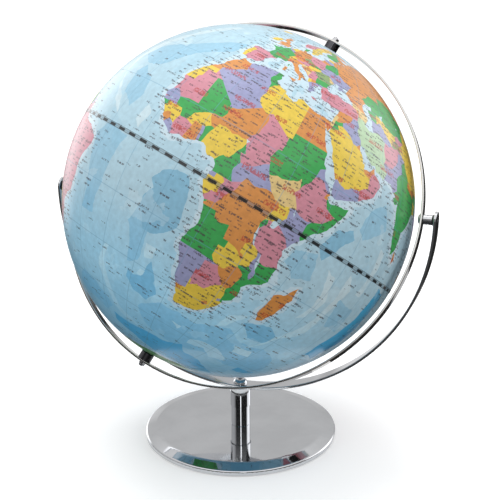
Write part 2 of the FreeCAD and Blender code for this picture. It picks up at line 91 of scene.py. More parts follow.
# Printed inks, as they look on a screen.
INKS = {
    "sea": (170, 202, 216),
    "deep": (146, 190, 212),
    "abyss": (130, 180, 205),
    "hadal": (64, 164, 206),
    "rise": (192, 214, 222),
    "yellow": (222, 192, 66),
    "green": (54, 160, 78),
    "olive": (130, 156, 100),
    "mint": (173, 201, 164),
    "tan": (216, 188, 125),
    "orange": (207, 137, 66),
    "pink": (200, 132, 147),
    "lavender": (148, 151, 188),
}

# ---------------------------------------------------------------- the map
#
# Outlines are "longitude,latitude" points. A blank line ends one, and a line with # is a comment.
# Coasts, lakes and patches of seabed come back to their first point, unless they end on the map's
# edge. Borders are open lines, and RULED holds those that run straight.

COASTS = """
# Africa, Europe and Asia, from Tangier down the Atlantic and round the Cape to Suez
-5.9,35.8 -6.8,34.1 -8.6,33.1 -9.8,31.5 -9.7,30.4 -11.1,28.8 -12.9,27.9 -13.2,27.1 -14.5,26.1 -15.8,23.9
-17,21.5 -17,20.8 -16.3,20.2 -16.2,18.2 -16.5,16 -17.5,14.7 -16.8,12.4 -15,10.9 -13.2,8.4 -11.4,6.8 -9.5,6
-7.5,5 -6,5.3 -4.5,5.9 -2,5.6 1.2,6.9 3.4,7.1 4.5,6.6 5.4,5.4 6.1,4.9 8.3,5 8.9,4.5 9.5,4 9.8,2.3 9.3,0.5
9.3,-0.5 8.8,-0.7 10,-2.8 11.8,-4.7 12.2,-5.8 13.2,-8.2 13.8,-10.9 12.5,-13.5 11.8,-16 11.8,-18.2 13.4,-20.9
14.5,-23.1 15.2,-26.9 16.4,-28.6 18.2,-31.7 17.9,-32.8 18.4,-34.3 20,-34.8 21.6,-34.4 24.8,-34.2 27.2,-33.5
28.2,-32.8 30.9,-30.2 32.4,-28.4 32.8,-27.3 32.7,-26.1 35.2,-24.5 35.5,-21.6 34.8,-19.9 37.3,-17.7
39.1,-16.8 40.8,-14.8 40.5,-10.6 39.4,-8.5 39.5,-7.2 38.8,-6.2 39.7,-4.1 41.2,-2.2 43.2,0.6 46,2.7 48.5,5.8
50.1,8.5 51.2,11.8 48.5,11.3 45.5,10.7 44.2,10.5 43.2,11.3 42.7,11.6 43.3,12.4 41.2,14.6 39.8,15.2 39.2,16
38.5,18 37.4,18.8 36.8,22.2 35.6,23.4 33.9,26.8 32.5,29.9 33.2,28.6 34.2,27.8 34.9,29.5 34.6,28.1 36.4,26.2
38,24.1 39.1,21.5 41,19.1 42.5,16.9 42.9,14.8 43.5,12.6 45,12.2 49.4,13.6 52.6,14.8 54.6,16.2 56,16.8
58.8,18.6 60.8,22.5 59.5,23.8 57,24.6 56.4,26.3 55.2,25.3 54.3,24.4 51.6,24.2 51.6,25.2 51.2,26.1 50.8,25.2
50.2,26.7 48.5,28.4 48,29.4 48,30 50.2,30.1 50.9,29 52.5,27.6 54.5,26.6 56.3,27.2 57.3,25.7 61.6,25.1
66.5,25.4 67,24.8 68.2,23.6 70.4,22.9 69.1,22.2 70.6,20.8 72.2,21.2 72.6,22.2 72.8,19 73.9,15.3 74.8,12.8
76.3,9.9 77.5,8.1 79.1,9.3 79.8,10.3 80.3,13.4 80.1,15.2 82.3,16.6 85.8,19.8 87.2,21.6 90.5,22.2 91.8,22.4
92.3,20.7 94.5,17.5 94.3,16 95.4,15.8 96.9,17.2 97.6,16.2 98.6,11.7 98.3,8.1 100.3,5.5 101.3,2.9 103.5,1.3
104.2,1.4 103.4,4.8 101,6.9 100.3,8.3 99.2,10.4 100,13.4 100.9,13.4 101,12.7 102.5,12.1 103.5,10.6
104.8,10.2 104.8,8.6 107.3,10.5 109,11.4 109.3,13.2 108.9,15.3 105.7,18.9 106.6,20.3 108,21.5 109.8,21.5
109.9,20.3 110.6,21.2 114.2,22.4 116.5,22.9 119.6,25.8 121.8,29.3 121,32.5 119.2,34.8 120.5,36.2 122.5,37
119,37.4 117.8,38.8 121,40.8 121.3,39 124.3,39.9 124.8,38 126.6,37.3 126.4,34.7 129.3,35.3 129.4,37
127.6,39.5 130.7,42.3 133,42.8 135.5,44.4 140.4,50 141.3,53 137,54 135.3,54.8 143,59.3 149,59.6 154,59.3
160,61.8 163.5,62.5 160,60 156.7,57.5 155.6,54.5 156.5,51 158.5,53 162,56.2 163.4,59.8 170.3,60 174,61.7
179,62.4 177.5,64.5 180,65.1

# Asia and Europe, from the Bering Strait along the Arctic coast to Gibraltar, and back by the south
180,68.9 176,69.8 170.5,69 161,69.5 152,70.9 140,72.5 137,71.4 130,71 128,72.5 113.5,73.6 113.5,75.6
104.3,77.7 92,75.8 86,74.5 80.5,73.6 80,72.2 74.5,72.7 69,72.9 67,71 68.7,68.5 61,69.5 54,68.3 46.5,68
43.7,68.4 44,66.3 40,66 40,64.6 37,64.2 34.8,64.5 32.5,67 38,66.2 41,66.7 38,68.5 33,69.4 28,71 19,69.8
13,66 9.7,63.6 5,61.9 5.3,59.5 7,58 10.5,59.2 11.2,59 12.8,56.2 13,55.4 14.3,55.5 16.3,56.5 16.7,58.3
18.7,59.8 17.3,60.8 17.5,62.4 22.3,65.7 25.4,65 21.3,62.8 21.3,61 25,60.2 28.5,60.4 30,59.9 28,59.4
24.5,59.3 23.5,58.7 24.3,57.5 22,57.6 21,56 21,55 19,54.5 16.5,54.5 14.2,53.9 12.5,54.4 10.9,54 9.9,55
10.5,57.6 8.2,56.8 8.8,53.8 7,53.5 5,53.1 3.4,51.4 1.7,50.9 0.2,49.5 -1.6,49.7 -1.5,48.7 -4.7,48.4 -2.3,47.3
-1.1,46 -1.8,43.4 -7.8,43.7 -9.2,43 -8.8,41.5 -9.4,38.8 -8.9,37 -6.3,36.9 -5.6,36 -4.4,36.7 -2.2,36.7
-0.7,37.6 0.1,38.7 -0.3,39.5 0.8,41 3.2,42 3.1,43 4.8,43.4 6.5,43.1 8.8,44.4 10.2,43.9 12.2,41.8 14,40.8
15.5,40 16.1,38.8 15.7,38 17.1,39 16.6,39.7 17,40.5 18.4,39.8 18.5,40.2 16,41.9 14.2,42.4 13.6,43.5
12.4,44.3 12.4,45.4 13.7,45.7 13.6,45 15.2,44.2 19.2,41.9 19.4,40.5 21.3,38.3 21.3,37.2 22.4,36.5 22.9,37.4
24,37.8 22.9,39.2 22.8,40.4 24,40.1 24.4,40.9 26,40.8 26.2,39.4 27,38.4 27.3,37 28.5,36.7 30.6,36.8
32.5,36.1 36,36.8 35.8,35.5 34.6,32 34.2,31.3 32.3,31.3 30,31.3 27,31.2 23.2,32.2 21.7,32.9 20.1,32.1
20.1,30.9 19.1,30.3 15.4,31.4 15.2,32.3 11.1,33.2 10.1,34 11.1,35.4 10.5,36.3 11,37 9.8,37.3 7,37 5,36.8
2.9,36.8 -1,35.7 -2,35.1 -4.4,35.2 -5.9,35.8

# Chukotka
-180,65.1 -176,64.8 -173,64.3 -169.8,66 -175,67.2 -180,68.9

# The Black Sea and the Caspian
29,41.3 31.3,41.2 33.4,42 36.5,41.3 41.5,41.5 41.4,42.7 38,44.5 37,45.2 38.2,47 35.2,46.3 36.4,45.3
33.5,44.5 32.6,45.4 33.6,46.1 31.5,46.6 29.7,45 27.9,42.7

47,44.7 49,46.4 53,46.6 53,45.2 50.4,44.4 53,41.5 53,39.8 53.8,37 51.5,36.7 49,37.6 50.3,40.3 47.5,43

# Britain and Ireland
-5.5,50.1 -3.5,50.4 1.3,51.1 1.7,52.7 0.2,53.2 -1.6,55.5 -3,56 -1.9,57.6 -4,57.8 -3.2,58.6 -5,58.5 -5.6,56
-4.9,54.8 -3,54.6 -3,53.6 -4.5,53.3 -5.2,51.8 -3,51.5

-6.3,52.2 -5.6,54.5 -7.5,55.3 -10,54 -10.3,52 -8.5,51.6

# Iceland, Svalbard, Novaya Zemlya and Greenland
-22.5,64 -18.5,63.4 -14,64.7 -14.8,66 -20.5,65.7 -22.5,66.4 -24,65.5

16,76.7 24,80 11.5,79.5

52,71.5 57,70.7 60,75.5 68.5,76.8 56,75.5

-44,60 -52,65 -54,68 -51,70 -55,71 -58,75 -66,76 -73,78.2 -66,80.5 -45,82.2 -33,83.5 -20,82 -18,80 -20,76
-23,70.3 -32,68 -40,65.3

# Mediterranean islands
12.5,38 15.6,38.2 15.1,36.7

8.2,41 9.7,41 9.6,39.2 8.5,39

8.6,42.4 9.4,43 9.2,41.4

23.5,35.6 26.2,35.3 24.8,34.9

32.3,35 34.5,35.6 33.2,34.6

# Madagascar, Sri Lanka and the small islands of the Indian Ocean
50.5,-12.3 51.4,-16 50.4,-17.5 48.3,-25.5 46.5,-26.3 44.8,-24 45.2,-20.3 45,-17.2 47.8,-16

79.8,8.8 80.2,9.7 81.8,7.5 80.5,6

# Japan and Sakhalin
130.3,31.2 132,33 135.8,33.5 140,35.2 142,39.5 141.4,41.4 139.5,38.5 137,37.2 132.5,35.3 129.7,33

140.3,41.5 143.2,42 145.5,43.3 142,45.4

142,46 144.5,49 142.5,54.3

# Taiwan, Hainan and the Philippines
120.2,23 121.5,25.2 120.9,22

108.7,19.3 110.8,20 109.6,18.2

120.5,16 120.8,18.5 122.2,18.4 121.6,15.6 124,12.8 120.8,13.8

122.1,7.3 124.8,9 126.5,7.5 125.4,5.7 124,7

122.5,10.5 125.3,12.3 124.5,9.9

# Sumatra, Java, Borneo, Sulawesi, Timor and New Guinea
95.3,5.6 98,4.4 103.5,-0.8 106,-3 105.7,-5.8 102.3,-4 98.7,1.7

105.2,-6.8 110.9,-6.4 114.5,-7.8 114.4,-8.7 108.5,-7.8

109,1.5 111.3,2.7 113,3.2 116.8,7 119.2,5.2 117.8,2 119,1 116.3,-3.8 114.6,-4.1 110.2,-3

119.5,-5.6 120.4,-2.8 122.4,-4.9 121.4,-1.9 123.3,-0.9 120.3,-0.9 120.1,0.5 124.9,1.5 120.8,1.2 118.8,-2.8

123.5,-10.3 127.3,-8.8 125,-8.5

131,-0.9 134,-0.8 135,-3.3 137.8,-1.6 141,-2.6 145.8,-5 150.5,-10.4 147,-9.5 144,-7.7 141,-9.1 138,-8.2
138,-5.5 133,-4

148.5,-5.8 152,-4.2 151,-6

# Australia, Tasmania and New Zealand
114,-22 113.5,-26 115.7,-32 115,-34.2 118,-35 123.5,-34 126,-32.3 131,-31.5 134.5,-33 135.6,-34.9
137.8,-32.6 138.5,-35.5 140.5,-38 146.3,-39 150,-37.4 151.5,-33 153.2,-30 153.2,-25 150.8,-23.3 149,-20.5
145.3,-15 143.5,-14 142.5,-10.8 141.6,-14 140.9,-17.5 139.3,-17.4 135.5,-15 136.8,-12.2 132.6,-11.3
129.5,-15 126,-14 122.2,-18.2 118.5,-20.3

144.7,-40.7 148.3,-40.9 147,-43.6

172.8,-34.5 178.5,-37.7 175.2,-41.6 173.8,-39.3 174.7,-37.5

172.7,-40.6 174.2,-41.8 170.5,-46 166.5,-45.8

# The Americas, from the Bering Strait along the Arctic and Atlantic coasts, and back by the Pacific
-168,65.6 -166.5,68.3 -156.6,71.3 -141,69.6 -128,70.3 -115,68 -102,67.8 -96,68 -93,72 -86,67.5 -82,69.5
-82,67 -87,64.5 -93.5,62 -94.7,59 -92.5,57 -88,56.5 -82.3,55.2 -80,51.3 -79.5,55 -77,57 -77.5,62.4 -70,61
-66,58.7 -64.5,60.3 -61.5,57 -56,52 -60,50.2 -66.5,50.2 -65,49.2 -64.5,46.5 -61,45.7 -66,43.6 -67,44.8
-70,43.8 -70,41.7 -74,40.5 -75.6,35.2 -78,34 -81.2,31.5 -80,27 -80.4,25.2 -82.8,28 -84,30 -89.5,30.2
-89.3,29.2 -94.7,29.4 -97.3,27.6 -97.8,22.5 -96,19.2 -94.5,18.2 -92,18.6 -90.5,20.5 -87,21.5 -88.8,16
-83.3,15 -83.6,11 -82.2,9 -79.8,9.5 -77.4,8.6 -75.5,10.7 -72,12.2 -71.3,10 -70,12 -68,10.6 -62,10.7 -57,6
-51.7,4.3 -50,1.7 -50,0 -44.3,-2.5 -41,-2.9 -35.2,-5.4 -34.8,-7.5 -39,-13 -39,-17 -41,-22 -44.5,-23.2
-48.5,-26 -48.7,-28.5 -53.5,-34 -56.5,-34.9 -58.3,-34 -57,-36.5 -58,-38.2 -62,-39 -65,-41 -65.3,-45
-67.5,-46.3 -65.8,-47.5 -69,-50.5 -68.4,-52.4 -65.3,-54.8 -69,-55.5 -74,-52 -75.5,-46.7 -73.5,-39 -71.5,-30
-70.3,-18.4 -76.2,-14 -79,-8.3 -81.3,-5.5 -80.2,-3.3 -81,-2.2 -80,0.5 -77,4 -77.9,7.3 -78.5,8.8 -80.5,7.3
-83,8.3 -85.7,10 -87.6,13 -91.5,14 -94.5,16.2 -99,16.6 -105.5,20 -105.5,22.5 -109.3,25.7 -112.5,30.2
-114.8,31.7 -111,26 -109.5,23 -112,24.8 -115,28 -117.2,32.6 -120.6,34.6 -124,39.5 -124.6,48.4 -123,49
-130.3,54.7 -139.7,59.6 -148,60 -151.7,59.2 -151,61 -158,56.3 -164,54.7 -158,58.5 -162,58.7 -166,62
-161,64.5

# Islands of the Arctic, Newfoundland and the Caribbean
-61.5,66.6 -66,62 -78,64.5 -73,67.5 -89,71 -90,73.5 -80,73.7 -71,71

-117,69 -105,69 -105,72.5 -118,72.5

-62,82.5 -76,78.5 -90,76.5 -92,81.5 -75,83.1

-125,72 -119,71.4 -119,74

-117,75 -97,75 -100,77

-59,47.7 -53,46.7 -55.8,51.5

-84.9,21.9 -82,23.1 -74.2,20.2 -78,20.9

-74.4,18.4 -72.8,19.9 -68.4,18.7

# Antarctica
-180,-78 -158,-77.5 -135,-74.5 -115,-74 -85,-73 -68,-69 -57,-63.3 -62,-71 -65,-77 -37,-78 -27,-76 -15,-72.5
15,-70 33,-68.8 50,-66.5 70,-68.5 73,-70 80,-68 110,-66 140,-66.7 170,-71.5 165,-78 180,-78
"""

BORDERS = """
# North Africa
-2.2,35.6 -1.8,34.5 -1.2,32.1 -3.6,30.9 -5,29.9 -8.7,28.7 -8.7,27.7

9.5,30.2 9.1,32.1 7.5,33.8 8.4,35.5 8.6,37.4

9.5,30.2 10.3,31.7 11.5,32.4 11.5,33.6

12,23.5 10,24.9 9.4,26.1 9.9,28 9.5,30.2

# West Africa
-12.2,14.8 -13.5,16 -14.5,16.6 -17,16.1

4.2,19.1 4.2,16.9 3.5,15.4 0.2,15 -2,14.2 -4.4,12.8 -5.5,10.4 -7.9,10.3 -9,12.3 -11.4,12.3 -12.2,14.8

-11.4,12.3 -13.7,12.6 -17.3,12.4

-13.7,12.6 -13.8,11.7 -15.4,10.6

-17.4,13.6 -13.8,13.6 -17.4,13.1

-13.8,8.9 -12.5,9.8 -11.2,10 -10.3,8.5 -11.9,6.6

-10.3,8.5 -8.5,7.6 -7.5,5.8 -7.5,3.9

-8.5,7.6 -7.9,10.3

-5.5,10.4 -2.8,9.6 -3.2,6.6 -3,4.5

-2.8,9.6 -2.9,11 0.9,11 2.4,11.9 3.6,11.7

-0.1,11.1 0.6,7.5 1.2,5.6

0.9,11 1.5,9.3 1.7,5.9

0.2,15 1,13.5 2.4,11.9

3.6,11.7 2.7,8.5 2.7,5.9

3.6,11.7 4.1,13.5 6.5,13.6 8.7,12.9 10.5,13.4 13.6,13.5

15,23 15.9,20.4 15.5,16.9 13.6,13.5 14.1,12.5 13.2,10.2 11.8,7 10.2,7 8.6,5 8.5,4.2

# Central Africa
14.1,12.5 15.5,10 14,9.9 15.5,7.5 14.6,5.5 16.2,2.2 18.6,3.5

15.5,7.5 18.7,8.1 22.9,11 21.9,12.7 22.9,15.6 24,15.7 24,19.5

13.3,2.2 14.4,1.3 13.9,-0.3 14.3,-2 12.5,-2 11.1,-3.9 10.7,-4.1

18.6,3.5 17.8,0.3 16.3,-2 15.3,-4.3 13.1,-4.6 11.5,-5.1

13.1,-4.6 12.6,-5.2 11.9,-5.6

18.6,3.5 19.5,5.1 22.5,4.2 25,5 27.4,5.1 24.2,8.7 22.9,11

24.2,8.7 26.5,9.5 28,9.4 30,10 32.4,11 33.1,12.2 34,9.5

27.4,5.1 30.8,3.6 31.2,2.2 29.7,0.3 29.6,-1.4 29,-2.7 29.3,-4.4 29.4,-6.3 30.8,-8.3

30.8,-8.3 28.9,-8.5 28.4,-9.3 28.4,-11.8 29.8,-12.2 29.8,-13.4 27.2,-11.7 24,-11

# East Africa
34,9.5 34.3,10.6 36.1,12.7 36.5,14.3 37,17 39.2,18.3

36.5,14.3 37.9,14.9 40,14.5 42.4,12.5 43.6,12.8

42.4,12.5 41.8,11 42.9,10.9 43.6,11.7

34,9.5 33,7.9 34.1,7.2 36,4.5 38,3.7 39.5,3.5 41.9,3.9

36,4.5 34,4.2 30.8,3.6

34,4.2 34.9,1.5 33.9,0.1 33.9,-1

29.6,-1.4 30.5,-1.1 30.8,-2.4 29.3,-4.4

30.8,-8.3 32.9,-9.4 34,-9.5

34.6,-11.6 37.5,-11.7 41,-10.5

32.9,-9.4 33.4,-10.6 32.9,-12.5 33.1,-14 30.2,-14.9 30.4,-15.6

33.1,-14 34.4,-14.5 34.3,-15.8 35.2,-17.1 35.8,-16 35.8,-14.6 34.9,-13.8

# Southern Africa
21,-18.3 23.5,-18.3 25.2,-17.8 23.4,-17.6

25.2,-17.8 27,-17.9 28.9,-15.9 30.4,-15.6 32.9,-16.7 32.8,-18.9 32.4,-21.3 31.3,-22.4

25.2,-17.8 27.2,-20.2 29.4,-22.2 31.3,-22.4 32,-24.5 32,-25.9 32.1,-26.8 33.4,-26.9

20,-24.8 20.8,-26.8 22.7,-25.6 25.5,-25.7 27,-23.7 29.4,-22.2

20,-28.4 17.5,-28.7 15.8,-28.6

32,-25.9 31,-26.3 31,-27.2 32.1,-26.8

27,-29.6 28.6,-28.6 29.4,-29.5 28,-30.6 27,-29.6

# Western Europe
-9.4,42 -6.5,41.9 -6.9,41 -7.1,39 -7.4,36.7

-2.2,43.7 -0.5,42.8 3.8,42.4

7.6,43.3 6.8,45 7,46 10.4,46.8 13.6,46.5 16.2,46.8

13.6,46.5 13.5,45.3

7,46 6,46.4 7.5,47.6 8.2,49 6.3,49.5 2.2,51.5

7.5,47.6 9.6,47.5 13,47.6 13.8,48.7 17,48.7

9.6,47.5 10.4,46.8

3,51.7 5.9,51 6.3,49.5

5.9,51 7,52.4 7,53.8

8,54.9 10.5,54.8

# Central and eastern Europe
14.2,54.3 15,51 12.2,50.2 13.8,48.7

15,51 16.8,50.2 18.8,49.5 17,48.7 16.2,46.8 18.8,45.9 20.3,46.2 22.9,48

18.8,49.5 22.5,49.1 22.1,48.4 16.4,48

22.5,49.1 24,50.6 23.6,51.5 23.5,54 19.3,54.6

23.5,54 26.6,55.6 20.6,56.2

23.5,57.9 27.4,57.6

23.6,51.5 30.6,51.4 31.8,52.1 30.8,55.7 28.2,56.2 27.4,57.6 28,59.9

26.6,55.6 28.2,56.2

31.8,52.1 35.5,50.4 40,49.6 38.2,47

22.1,48.4 22.9,48 24.9,47.8 27,48.2 31,45.6

27,48.2 28.2,45.5 30.3,45.2

20.3,46.2 22.5,44.5 23,43.8 27,44.1 29.2,43.7

22.5,44.5 22.4,42.3 23,41.4 26.4,41.7 28.8,42

26.4,41.7 25.5,40.2

19.5,39.7 21,40.8 23,41.4

21,40.8 20.5,42.1 18.8,41.9

20.5,42.1 22.4,42.3

13.2,45.4 15.6,45.7 16.2,46.8

18.1,42.2 18.6,42.6 16,44.8 19,44.9 18.8,45.9

19,44.9 18.6,42.6

# Northern Europe
11,58.7 12.2,61 12.2,63 16,68 20.3,69 26,69.8 29,69.1 31,70.3

20.3,69 23.8,67.5 24.2,65

29,69.1 30,64.5 31.5,62.8 27.9,59.9

# Caucasus and central Asia
39.3,43.2 44,42.7 49,41.8

41,41.6 43.5,41.1 46.5,41.3 46.5,41.8

43.5,41.1 44.8,39.7 46.5,39 49.6,38.4

45,41.2 46.5,39

49.5,46.1 47,48 52,51.6 61,51 61,54 70,55.3 77,54 80.5,51 87.5,49.1

53.3,37.3 57,38.2 61.2,36.6 64.5,36.3 66.5,37.4 68,37 71.5,37.9 74.5,37.2

66.5,37.4 62.5,39.5 58.5,42.6 56,41.3 52.4,41.8

56,41.3 56,45 61,44.3 66,42.5 71,42.2 74,43 80.3,42.1 80.5,45 83,47.2 87.5,49.1

66.5,37.4 68,39.5 70.5,40.5 71,42.2

70.5,40.5 73.7,39.5

80.3,42.1 73.7,39.5 74.5,37.2

# The Middle East
44.8,39.7 44.8,37.2 42.4,37.1 36.6,36.8 35.5,35.9

42.4,37.1 41.2,34.5 38.8,33.4 36,32.7 34.7,33.1

36,32.7 36.6,34.2 35.1,34.8

35.7,32.8 35.5,31 35,29.2

33.9,31.6 34.9,29.5

38.8,33.4 39.2,32.1 37,31.5 38,30.5 36,29.2 34.7,29.3

39.2,32.1 42,31.1 44.7,29.2 46.5,29.1 47.6,28.5 48.9,28.5

46.5,29.1 47.5,30.1 48.4,29.9

44.8,37.2 46,35.5 45.5,34 47.8,31.5 48.4,29.9

51.5,24.5 51.8,23.8 52.5,23 55.1,22.6 55.8,24.3 57,24.8

55.1,22.6 55.5,19.8 52.4,17.8 49.5,17.4 47,15.9 44.5,16.6 43.3,17.2 42.2,16.4

52.4,17.8 53.4,14.8

61.2,36.6 60.6,34 61.8,31.4 60.9,29.8 63.2,27.2 61.6,24.7

60.9,29.8 66.3,29.9 69.3,32 71.2,34.3 71.5,36.5 74.5,37.2

# South and east Asia
74.5,37.2 78,35.5 79,32.5 81,30.2 88.1,27.9 97,28.3 97.7,24 99.3,22.1 101.2,21.3 102.2,22.4 106.7,22
108.4,21.2

78,35.5 74,33.5 74.5,31 70,28 71,24.6 67.8,23.5

81,30.2 80.2,28.8 84,27.2 88.1,26.4 88.1,27.9

97,28.3 93.2,24 92.6,22 91.9,20.6

89,21.2 88.2,24.5 89,26.2 92.3,25 91.3,23.5 92.6,22

101.2,21.3 100.1,20.4 97.7,18.5 98.8,16.2 98.2,15 99.2,12.7 98.2,9.9

100.1,20.4 101,17.6 104,18.2 105.6,14.4 107.6,14.7 107.5,12.5 105.8,11.3 104.2,10

102.2,22.4 104.5,19.6 107.6,14.7

105.6,14.4 102.5,13.8 102.9,11.7 102.5,11.5

99.2,6.5 101.2,5.8 102.5,6.5

87.5,49.1 92,50.7 98.3,52 107,50 116.7,49.8 115.5,47.8 119.8,46.7 111.9,43.7 105,41.6 97,42.8 91,45.2
87.5,49.1

116.7,49.8 120,53.3 126,52.8 127.5,49.8 134.8,48.3 131.2,43 131.2,41.9

131.2,43 130.5,42.5 128,42 124,39.7

126,37.3 129,38.7

109.1,2 110.5,1 113,1.3 115.8,4.2 119.3,4.2

# North and Central America
-95.2,49 -88.5,48.2 -84.8,46.7 -82.5,45.4 -83,42 -79,42.8 -76.5,44 -74.8,45 -71.5,45 -69.2,47.4 -67.8,47
-66.7,44.4

-141,60.2 -135.5,59.7 -130.1,55.9 -130.6,54.5

-117.6,32.5 -114.8,32.6 -111,31.3 -106.5,31.8 -103,29 -101.4,29.8 -99.5,27.5 -96.7,25.9

-92.6,14.1 -91.5,16 -91,17.8 -89.2,17.8 -87.3,18.4

-88.3,16.3 -89.3,14.4 -90.3,13.4

-82.9,15 -88,12.9

-83.2,10.9 -86.9,11.1

-82.2,9.5 -82.9,7.9

-77.3,9.3 -78.3,7

# South America
-71,12.5 -72.5,9 -72.4,7.4 -67.5,6.2 -66.9,1.2 -63.4,2.2 -64,4 -60.7,5.2 -61,7 -59.3,8.7

-60.7,5.2 -59.7,2 -56.5,1.9 -54.6,2.3 -52.7,2.2 -51.2,4.6

-56.5,1.9 -58,4 -57.2,6.4

-54.6,2.3 -54,6.2

-66.9,1.2 -69.8,1.7 -69.4,-1 -70,-4.2 -72.5,-2.4 -75.3,0 -79.8,1.9

-75.3,0 -75.6,-1.6 -78.5,-4.6 -80.8,-3.3

-70,-4.2 -72.8,-5.2 -74,-7.4 -70.6,-9.5 -69.5,-11 -65.4,-9.7 -65.3,-12 -60.2,-13.6 -60.2,-16.2 -57.8,-20
-57.9,-22.1 -54.3,-24 -54.6,-25.6 -53.7,-27 -57.6,-30.2 -53,-34

-69.5,-11 -69,-16.3 -69.5,-17.5 -70.9,-18.5

-69.5,-17.5 -67.2,-22.8 -69.8,-30 -70.2,-34 -71.2,-38 -71.7,-43 -73.2,-49.5 -72.3,-51.5 -68.5,-52.3
-68.6,-55.8

-67.2,-22.8 -62.6,-22.2 -59,-19.3 -57.8,-20

-62.6,-22.2 -58,-25 -58.6,-27.3 -56,-27.3 -54.6,-25.6

-57.6,-30.2 -58.2,-34.6
"""

RULED = """
-8.7,26 -8.7,27.7 -13.8,27.7

-8.7,26 -12,26 -12,23.4 -13,22.8 -13,21.3 -17.6,21.3

-8.7,27.3 -4.8,25 1.2,21.1 3.3,19.8 3.2,19.1 4.2,19.1 5.8,19.5 12,23.5 14.2,22.6 15,23 16,23.5 24,19.5 24,20
25,20 25,22 25,32.1

-4.8,25 -6.6,25 -5.5,15.5 -9.2,15.5 -12.2,14.8

25,22 37.5,22

16.2,2.2 9.2,2.2

11.3,2.2 11.3,1 9,1

11.8,-6 16.6,-5.9 17.1,-7.5 19,-8 21.8,-7.3 22.3,-11 24,-11 24,-13 22,-13 22,-16.2 23.4,-17.6

11.3,-17.3 14,-17.4 18.4,-17.4 23.4,-17.6

21,-18.3 21,-22 20,-22 20,-28.4

23.4,-17.6 21.4,-17.9 21,-18.3

42.9,10.9 44,9 47,8 48,8 45,5 41.9,3.9 41,2.8 41,-0.9 42,-2.1

30.5,-1.1 33.9,-1 37.6,-3 39.6,-5.1

141,-2.2 141,-9.5

-123.8,49 -95.2,49

-141,70.2 -141,60.2 -141.5,59.5
"""

LAKES = """
31.8,-0.9 33.2,0.4 34.1,-0.3 33,-2.5 31.8,-2.4

29.2,-3.4 29.8,-5.5 31.2,-8.7 30.4,-8.4 29.1,-6

34,-9.5 34.9,-11.5 35.3,-14.3 34.4,-13 34.1,-11

36,4.5 36.4,2.6 35.8,3.4

13.3,13.7 14.8,13.4 14,12.6

58.5,45.5 61.5,46.5 60,43.8

104,51.5 109.8,55.7 107,52.3

73.8,45.2 79,46.7 75,46.6

30.5,61.5 32.8,60.6 31.2,59.9

34.4,61.8 36.3,61.2 34.9,62.7

-92,46.7 -88.5,48.6 -84.7,46.6

-87.7,42 -86.3,42.3 -85,45.7 -87.9,44.5

-84,46 -81,46 -80,44.7 -82.4,43

-83.3,41.7 -79,42.8 -82,41.4

-79.7,43.4 -76.3,44 -76.3,43.5

-99,51 -96.5,51 -98,53.8

-117,61.5 -110,62.2 -115,60.9

-125,65.5 -118,66 -121,67
"""

LANDS = {
    "yellow": """
        -14,25 18,27 8,9 -12.8,10.8 -2,12.5 12,-0.5 33,1.5 25,-14.5 23,-31 45,24 -8,39.7 -8,53 15,62 6,52.3
        8,46.8 62,42 100,33 90,23.8 102.5,4.5 113.5,2.6 121,17 124,11 125.5,7.5 -100,40 -150,65 -134,58
        -84,10 -78.5,-1.5 -71,-32 -59,5 -59,-23 -18.5,65 19,47 172,-43 -81.5,22.2 20,41 25.5,58.6
    """,
    "green": """
        -2,18 9.5,34.5 30,14 13,5 29.9,-3 18,-12 12.6,-5 38,-14 46,4 2,8 -15.3,12 2,47 25,42.6 28,53 27,63
        36,31 67,48 78,22 103,19 127.5,36 9,42.3 121,23.7 175.8,-38.5 144,-6.5 -102,23 -75,-10 -56,4 10,56
        150.5,-5.2 -71,19.2 23,-79 20.5,49
    """,
    "olive": "26,46 15.5,50 70,38.5",
    "mint": "54,33",
    "tan": "30,7.5 44,42 35.8,33.9 28.8,46.3 17.8,44 14.5,46.1",
    "orange": """
        -6,32 9,17 29,27 -1,8 23,-3 42.3,11.7 30,-19 -12,8.5 28.2,-29.6 47.5,-19.5 10,51 11,43.5 14,37.6
        9,40 -1.5,52.5 38,35 55,24 90,62 143,50 57,74 47.5,29.3 84,28.1 80.7,7.7 108.2,14.5 101,0 110,-7.2
        114,-1.5 120.3,-2 138,-4 125.2,-9 -73,4 -64,-36 24,55 -90.3,15.3 -81,8.4 45,40.6 127,40.5 -175,66
        22,41.6 16.5,45.1
    """,
    "pink": """
        -10,20 18,15 -6,7 15.5,0.5 39,8 35,-6 24,-22.5 56,21 34,39 -4,40 20,52 9,61.5 12.5,46.9 21,44.5
        65,34 143,43.5 140.2,37 133,-25 146.5,-42 101,15.5 -55,-10 -100,60 -72,70 -111,71 -80,80.5
        -120.5,72.3 -105,75.7 -56,49 -85.5,12.8 24.8,35.2 18,79 109.7,19 -16,13.45 75,41.5
    """,
    "lavender": """
        3,28 -14.7,15.2 1,10 -9.5,6.7 22,7 38.5,15.6 38,0.5 33.7,-13 18,-22 31.5,-26.5 23.5,-18 47,14.5
        43,33 31,49 59,39.5 70,27 22.5,39.5 105,46 96,21 105,12.7 -66,8 -65,-17 -53.5,4 -56,-33 -42,75
        -86.5,14.5 4.5,50.6 24,57 33.2,35.1 10.4,1.6
    """,
}

